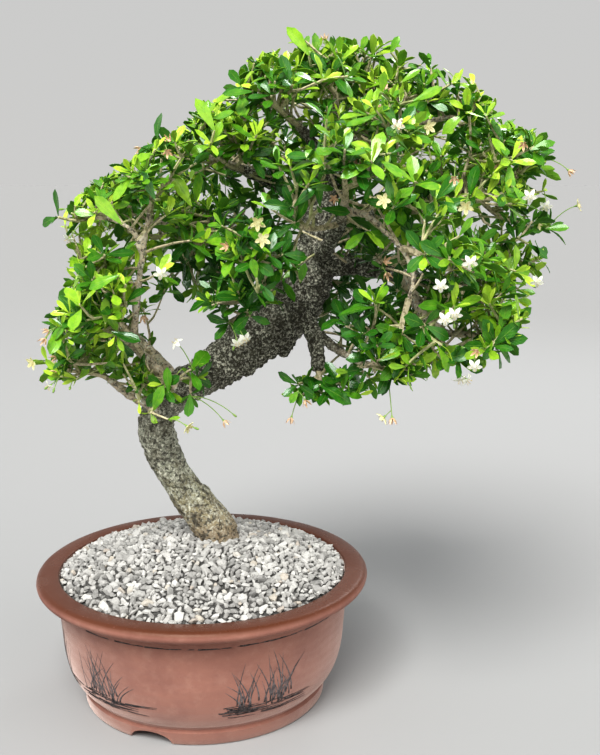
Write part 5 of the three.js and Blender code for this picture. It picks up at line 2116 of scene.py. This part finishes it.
@dataclass
class Crown:
    """All that grows on the wood: the leafy sprays and the flowers."""

    dressing: Dressing
    back_depths: tuple[float, ...] = (22, 52, 80)
    longest_fill: float = 62.0
    front_depth: float = 40.0
    seen_depth: float = 60.0
    accent_forms: tuple[LeafForm, ...] = (LeafForm.FOLDED, LeafForm.ARCHED, LeafForm.CUPPED)
    hidden_flowers: int = 22
    small_cymes: int = 46
    flower_crease: float = 55.0
    pattern: LeafPattern = LeafPattern()
    plain_pattern: LeafPattern = LeafPattern(rows=3, columns=2, outline=(0.09, 0.85, 0.92, 0.06))

    def build(self) -> None:
        """Build the crown and set it in the frame."""
        fine = self.pattern.make_all()
        plain = self.plain_pattern.make_all()
        sprays = [LeafySpray(seat, index + 1) for index, seat in enumerate(SPRAYS)]
        plans = [spray.plan() for spray in sprays]
        self._fill(sprays, plans)
        self._add_accents(sprays[0], plans)
        for index, spray in enumerate(sprays):
            name = f"foliage_{index + 1:02d}"
            data = mesh_of(name, spray.mesh(plans[index], self.pattern, fine, plain), self.pattern.crease)
            materials = [self.dressing["twig"], self.dressing["leaf"]]
            set_in_frame(name, data, materials, [f"spray_{index + 1:02d}"])
        for mesh in [*fine.values(), *plain.values()]:
            bpy.data.meshes.remove(mesh)
        LOG.info("the crown has %d leaves", sum(len(shoot.leaves) for plan in plans for shoot in plan))
        self._build_solid_cymes(plans)
        bunch = bmesh.new()
        self._add_seen_flowers(bunch, plans)
        self._scatter_flowers(bunch, [shoot.course.end for plan in plans for shoot in plan])
        self._set_flowers("scattered_blossom", bunch)

    def _fill(self, sprays: list[LeafySpray], plans: list[list[Shoot]]) -> None:
        """Grow more shoots into the thin places, each from the nearest shoot.

        Args:
            sprays: the sprays.
            plans: the shoots of each spray, which get the new ones.
        """
        draw = Draw(410)
        for x, z in THIN_PLACES:
            for depth in self.back_depths:
                end = at_depth(draw.about(x, 5), draw.about(z, 5), depth)
                gaps = [min((shoot.course.end - end).length for shoot in plan) for plan in plans]
                owner = gaps.index(min(gaps))
                bearer = min(plans[owner], key=lambda shoot: (shoot.course.end - end).length)
                start = bearer.course.point_at(0.6)
                if (end - start).length > self.longest_fill:
                    continue
                spray = sprays[owner]
                shoot = Shoot(spray.bowed(start, end, draw.state), spray.fine_radii, 4, 0.3)
                spray.add_heart(shoot, 7, draw, largest=20.0)
                plans[owner].append(shoot)

    def _add_accents(self, spray: LeafySpray, plans: list[list[Shoot]]) -> None:
        """Set the large leaves in front of the others, each on a stalk from the nearest shoot.

        Args:
            spray: a spray, for the sizes of its leaves and shoots.
            plans: the shoots of each spray, which get the new ones.
        """
        shoots = [(s, plan) for plan in plans for s in plan if s.course.end.y < self.front_depth]
        leaves = [leaf for shoot, _ in shoots for leaf in shoot.leaves]
        middles = [(leaf.base + leaf.along * (0.5 * leaf.length), leaf.base.y) for leaf in leaves]
        others = [(seen_from_camera(place), depth) for place, depth in middles]
        for index, (x, z, tip_x, tip_z, tone) in enumerate(ACCENT_LEAVES):
            bearer, plan = min(shoots, key=lambda item: way_to(item[0].course.end, (x, z)))
            middle = ((x + tip_x) / 2, (z + tip_z) / 2)
            near = [depth for spot, depth in others if math.dist(spot, middle) < 7]
            depth = max(min([bearer.course.end.y, *near]) - 4, CROWN_DEPTH[0])
            base = at_depth(x, z, depth)
            reach = at_depth(tip_x, tip_z, depth - 3) - base
            upper = reach.cross(Vector((0, -0.8, 0.6))).cross(reach).normalized()
            half_width = 0.42 * max(reach.length, 16) * spray.leaf_width
            form = self.accent_forms[index % len(self.accent_forms)]
            leaf = Leaf(base, reach.normalized(), upper, reach.length, half_width, tone, form)
            course = spray.bowed(bearer.course.end, base + leaf.along, index)
            plan.append(Shoot(course, spray.fine_radii, 3, 0.5, [leaf]))

    def _set_flowers(self, name: str, bunch: Shape, nodes: Sequence[str] = ()) -> None:
        """Set a mesh of flowers in the frame.

        Args:
            name: the piece's name.
            bunch: the flowers.
            nodes: the plain solids that it stands for.
        """
        bmesh.ops.recalc_face_normals(bunch, faces=bunch.faces)
        data = mesh_of(name, bunch, self.flower_crease)
        materials = [self.dressing[key] for key in ("calyx", "petal", "cream", "faded", "anther")]
        set_in_frame(name, data, materials, nodes)

    def _build_solid_cymes(self, plans: list[list[Shoot]]) -> None:
        """Build the flowers that the plain solids stand for.

        Args:
            plans: the shoots of each spray.
        """
        to_plant = TO_FRAME.inverted()
        for index, cyme in enumerate(SOLID_CYMES):
            node = f"flower_cyme_{index + 1:02d}"
            start = plans[cyme.spray][0].course.point_at(0.8)
            corners = [to_plant @ corner.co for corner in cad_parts[node].data.vertices]
            furthest = max(corners, key=lambda corner: (corner - start).length)
            end = start + (furthest - start).normalized() * (cyme.length - 3)
            head = bmesh.new()
            Cyme(start, end, cyme.stages, seed=index + 50).add_to(head)
            self._set_flowers(f"blossom_{index + 1:02d}", head, [node])

    def _add_seen_flowers(self, bunch: Shape, plans: list[list[Shoot]]) -> None:
        """Grow flowers to where the camera sees them, each in front of the leaves there.

        Args:
            bunch: the mesh that gets the flowers.
            plans: the shoots of each spray.
        """
        shoots = [shoot for plan in plans for shoot in plan]
        tips = [shoot.course.end for shoot in shoots if shoot.course.end.y < self.seen_depth]
        leaf_tips = [leaf.base + leaf.along * leaf.length for shoot in shoots for leaf in shoot.leaves]
        leaves = [(seen_from_camera(tip), tip.y) for tip in leaf_tips if tip.y < self.seen_depth]
        flowers = [(stage, spot) for stage, spots in SEEN_FLOWERS.items() for spot in spots]
        for index, (stage, spot) in enumerate(flowers):
            near = [depth for seen, depth in leaves if math.dist(seen, spot) < 8]
            bearer = min(tips, key=lambda tip: way_to(tip, spot))
            end = at_depth(*spot, max(min([bearer.y, *near]) - 6, CROWN_DEPTH[0] - 4))
            extra = (Stage.BUD,) if index % 3 == 0 and stage is not Stage.BUD else ()
            Cyme(bearer, end, (stage, *extra), seed=index + 300).add_to(bunch)

    def _scatter_flowers(self, bunch: Shape, tips: list[Vector]) -> None:
        """Add the flowers at the back and the small ones and buds all over the crown.

        Args:
            bunch: the mesh that gets the flowers.
            tips: the ends of all shoots.
        """
        draw = Draw(640)
        hidden = [tip for tip in tips if tip.y > self.front_depth]
        for index in range(self.hidden_flowers):
            tip = hidden[int(draw.next() * len(hidden))]
            way = ((tip - CROWN_HEART).normalized() + draw.heading() * 0.5 + Vector((0, 0.3, 0))).normalized()
            stage = list(Stage)[int(draw.next() * len(Stage))]
            Cyme(tip, tip + way * draw.between(11, 18), (stage, Stage.BUD), seed=700 + index).add_to(bunch)
        for index in range(self.small_cymes):
            tip = tips[int(draw.next() * len(tips))]
            way = ((tip - CROWN_HEART).normalized() + draw.heading() * 0.7).normalized()
            stages = (Stage.FADED,) if index % 2 else (Stage.BUD, Stage.BUD)
            Cyme(tip, tip + way * draw.between(4, 9), stages, seed=800 + index).add_to(bunch)


# The studio


@dataclass
class Studio:
    """The plain pale floor, the lights and the camera."""

    floor_size: float = 60.0
    floor_shade: float = 0.34
    sky: Colour = (0.48, 0.495, 0.51)
    sunlight: Colour = (1.0, 0.985, 0.955)
    cool: Colour = (0.92, 0.97, 1.0)
    aim: Point = (0.06, 0, 0.30)
    soft_power: float = 5.0
    soft_lights: tuple[tuple[str, Point, float], ...] = (
        ("Glint", (-0.5, -1.1, 1.5), 0.35),
        ("Back", (0.6, 1.4, 1.3), 0.5),
    )
    suns: tuple[tuple[str, float, Point, float], ...] = (
        ("Key", 3.7, (0.22, 0.80, -1.0), 32),
        ("Fill", 1.0, (-0.80, 0.60, -0.40), 60),
        ("Left", 0.45, (0.85, 0.45, -0.25), 60),
    )

    def build(self) -> None:
        """Set up the studio."""
        self._build_floor()
        self._build_camera()
        aim = pot_axis() + Vector(self.aim)
        for name, place, size in self.soft_lights:
            way = aim - Vector(place)
            self._hang(name, "AREA", self.cool, Vector(place), way, size=size, energy=self.soft_power)
        for name, power, way, spread in self.suns:
            angle = math.radians(spread)
            self._hang(name, "SUN", self.sunlight, Vector(), Vector(way), energy=power, angle=angle)
        self._build_sky()
        bpy.context.scene.view_settings.view_transform = "Standard"
        bpy.context.scene.view_settings.look = "Medium High Contrast"

    @staticmethod
    def _hang(name: str, kind: str, colour: Colour, place: Vector, way: Vector, **settings: float) -> None:
        """Hang a light.

        Args:
            name: its name.
            kind: the kind of light.
            colour: its colour.
            place: where it hangs.
            way: the way it shines.
            settings: its power, with its size or its spread.
        """
        light = bpy.data.lights.new(name, kind)
        light.color = colour
        for key, value in settings.items():
            setattr(light, key, value)
        lamp = bpy.data.objects.new(name, light)
        lamp.location = place
        lamp.rotation_euler = way.to_track_quat("-Z", "Y").to_euler()
        bpy.context.scene.collection.objects.link(lamp)

    def _build_sky(self) -> None:
        """Light the room from all sides, with the floor's own look at the horizon, where the two meet."""
        world = bpy.data.worlds.new("Studio")
        world.use_nodes = True
        bench = Bench(world.node_tree)
        way = bench.add("ShaderNodeTexCoord").outputs["Generated"]
        height = bench.add("ShaderNodeSeparateXYZ", {0: way}).outputs["Z"]
        fall = sum(-Vector(way).normalized().z * power / math.pi for _, power, way, _ in self.suns)
        shade = self.floor_shade / (1 - self.floor_shade / 3)
        horizon = tuple(shade * (fall * sun + sky * 2 / 3) for sun, sky in zip(self.sunlight, self.sky))
        colour = bench.blend(bench.reckon("MAXIMUM", height, 0.0), horizon, self.sky)
        bench.feed(world.node_tree.nodes["Background"], {"Color": colour})
        bpy.context.scene.world = world

    def _build_floor(self) -> None:
        """Lay a wide pale floor."""
        sheet = bmesh.new()
        bmesh.ops.create_grid(sheet, x_segments=1, y_segments=1, size=self.floor_size / 2)
        floor = bpy.data.objects.new("floor", mesh_of("floor", sheet))
        floor.location = pot_axis() - Vector((0, 0, 0.0005))
        bpy.context.scene.collection.objects.link(floor)
        bench = MaterialBench("Pale floor")
        pale = (*[self.floor_shade] * 3, 1.0)
        bench.feed(bench.shader, {"Base Color": pale, "Roughness": 1.0, "Specular IOR Level": 0.0})
        floor.data.materials.append(bench.material)

    @staticmethod
    def _build_camera() -> None:
        """Place the camera where the photograph was taken from."""
        camera = bpy.data.cameras.new("Camera")
        camera.lens = EYE_LENS
        camera.clip_start = 0.05
        body = bpy.data.objects.new("Camera", camera)
        body.location = TO_FRAME @ EYE
        body.rotation_euler = (math.pi / 2 - EYE_TILT, 0, 0)
        bpy.context.scene.collection.objects.link(body)
        bpy.context.scene.camera = body


def dress_kept_nodes(dressing: Dressing) -> None:
    """Give the solids that stay in view their materials.

    Args:
        dressing: the object's materials.
    """
    for name, finish in (("soil", "soil"), ("drain_screen_1", "screen"), ("drain_screen_2", "screen")):
        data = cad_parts[name].data
        data.materials.clear()
        data.materials.append(dressing[finish])


def main() -> None:
    """Build the object in order and light it."""
    logging.basicConfig(level=logging.INFO, format="%(name)s: %(message)s")
    Studio().build()
    dressing = {name: finish.material() for name, finish in FINISHES.items()}
    dress_kept_nodes(dressing)
    for assembly in (ClayPot, GravelBed, Wood, Crown):
        assembly(dressing).build()


if __name__ == "__main__":
    main()
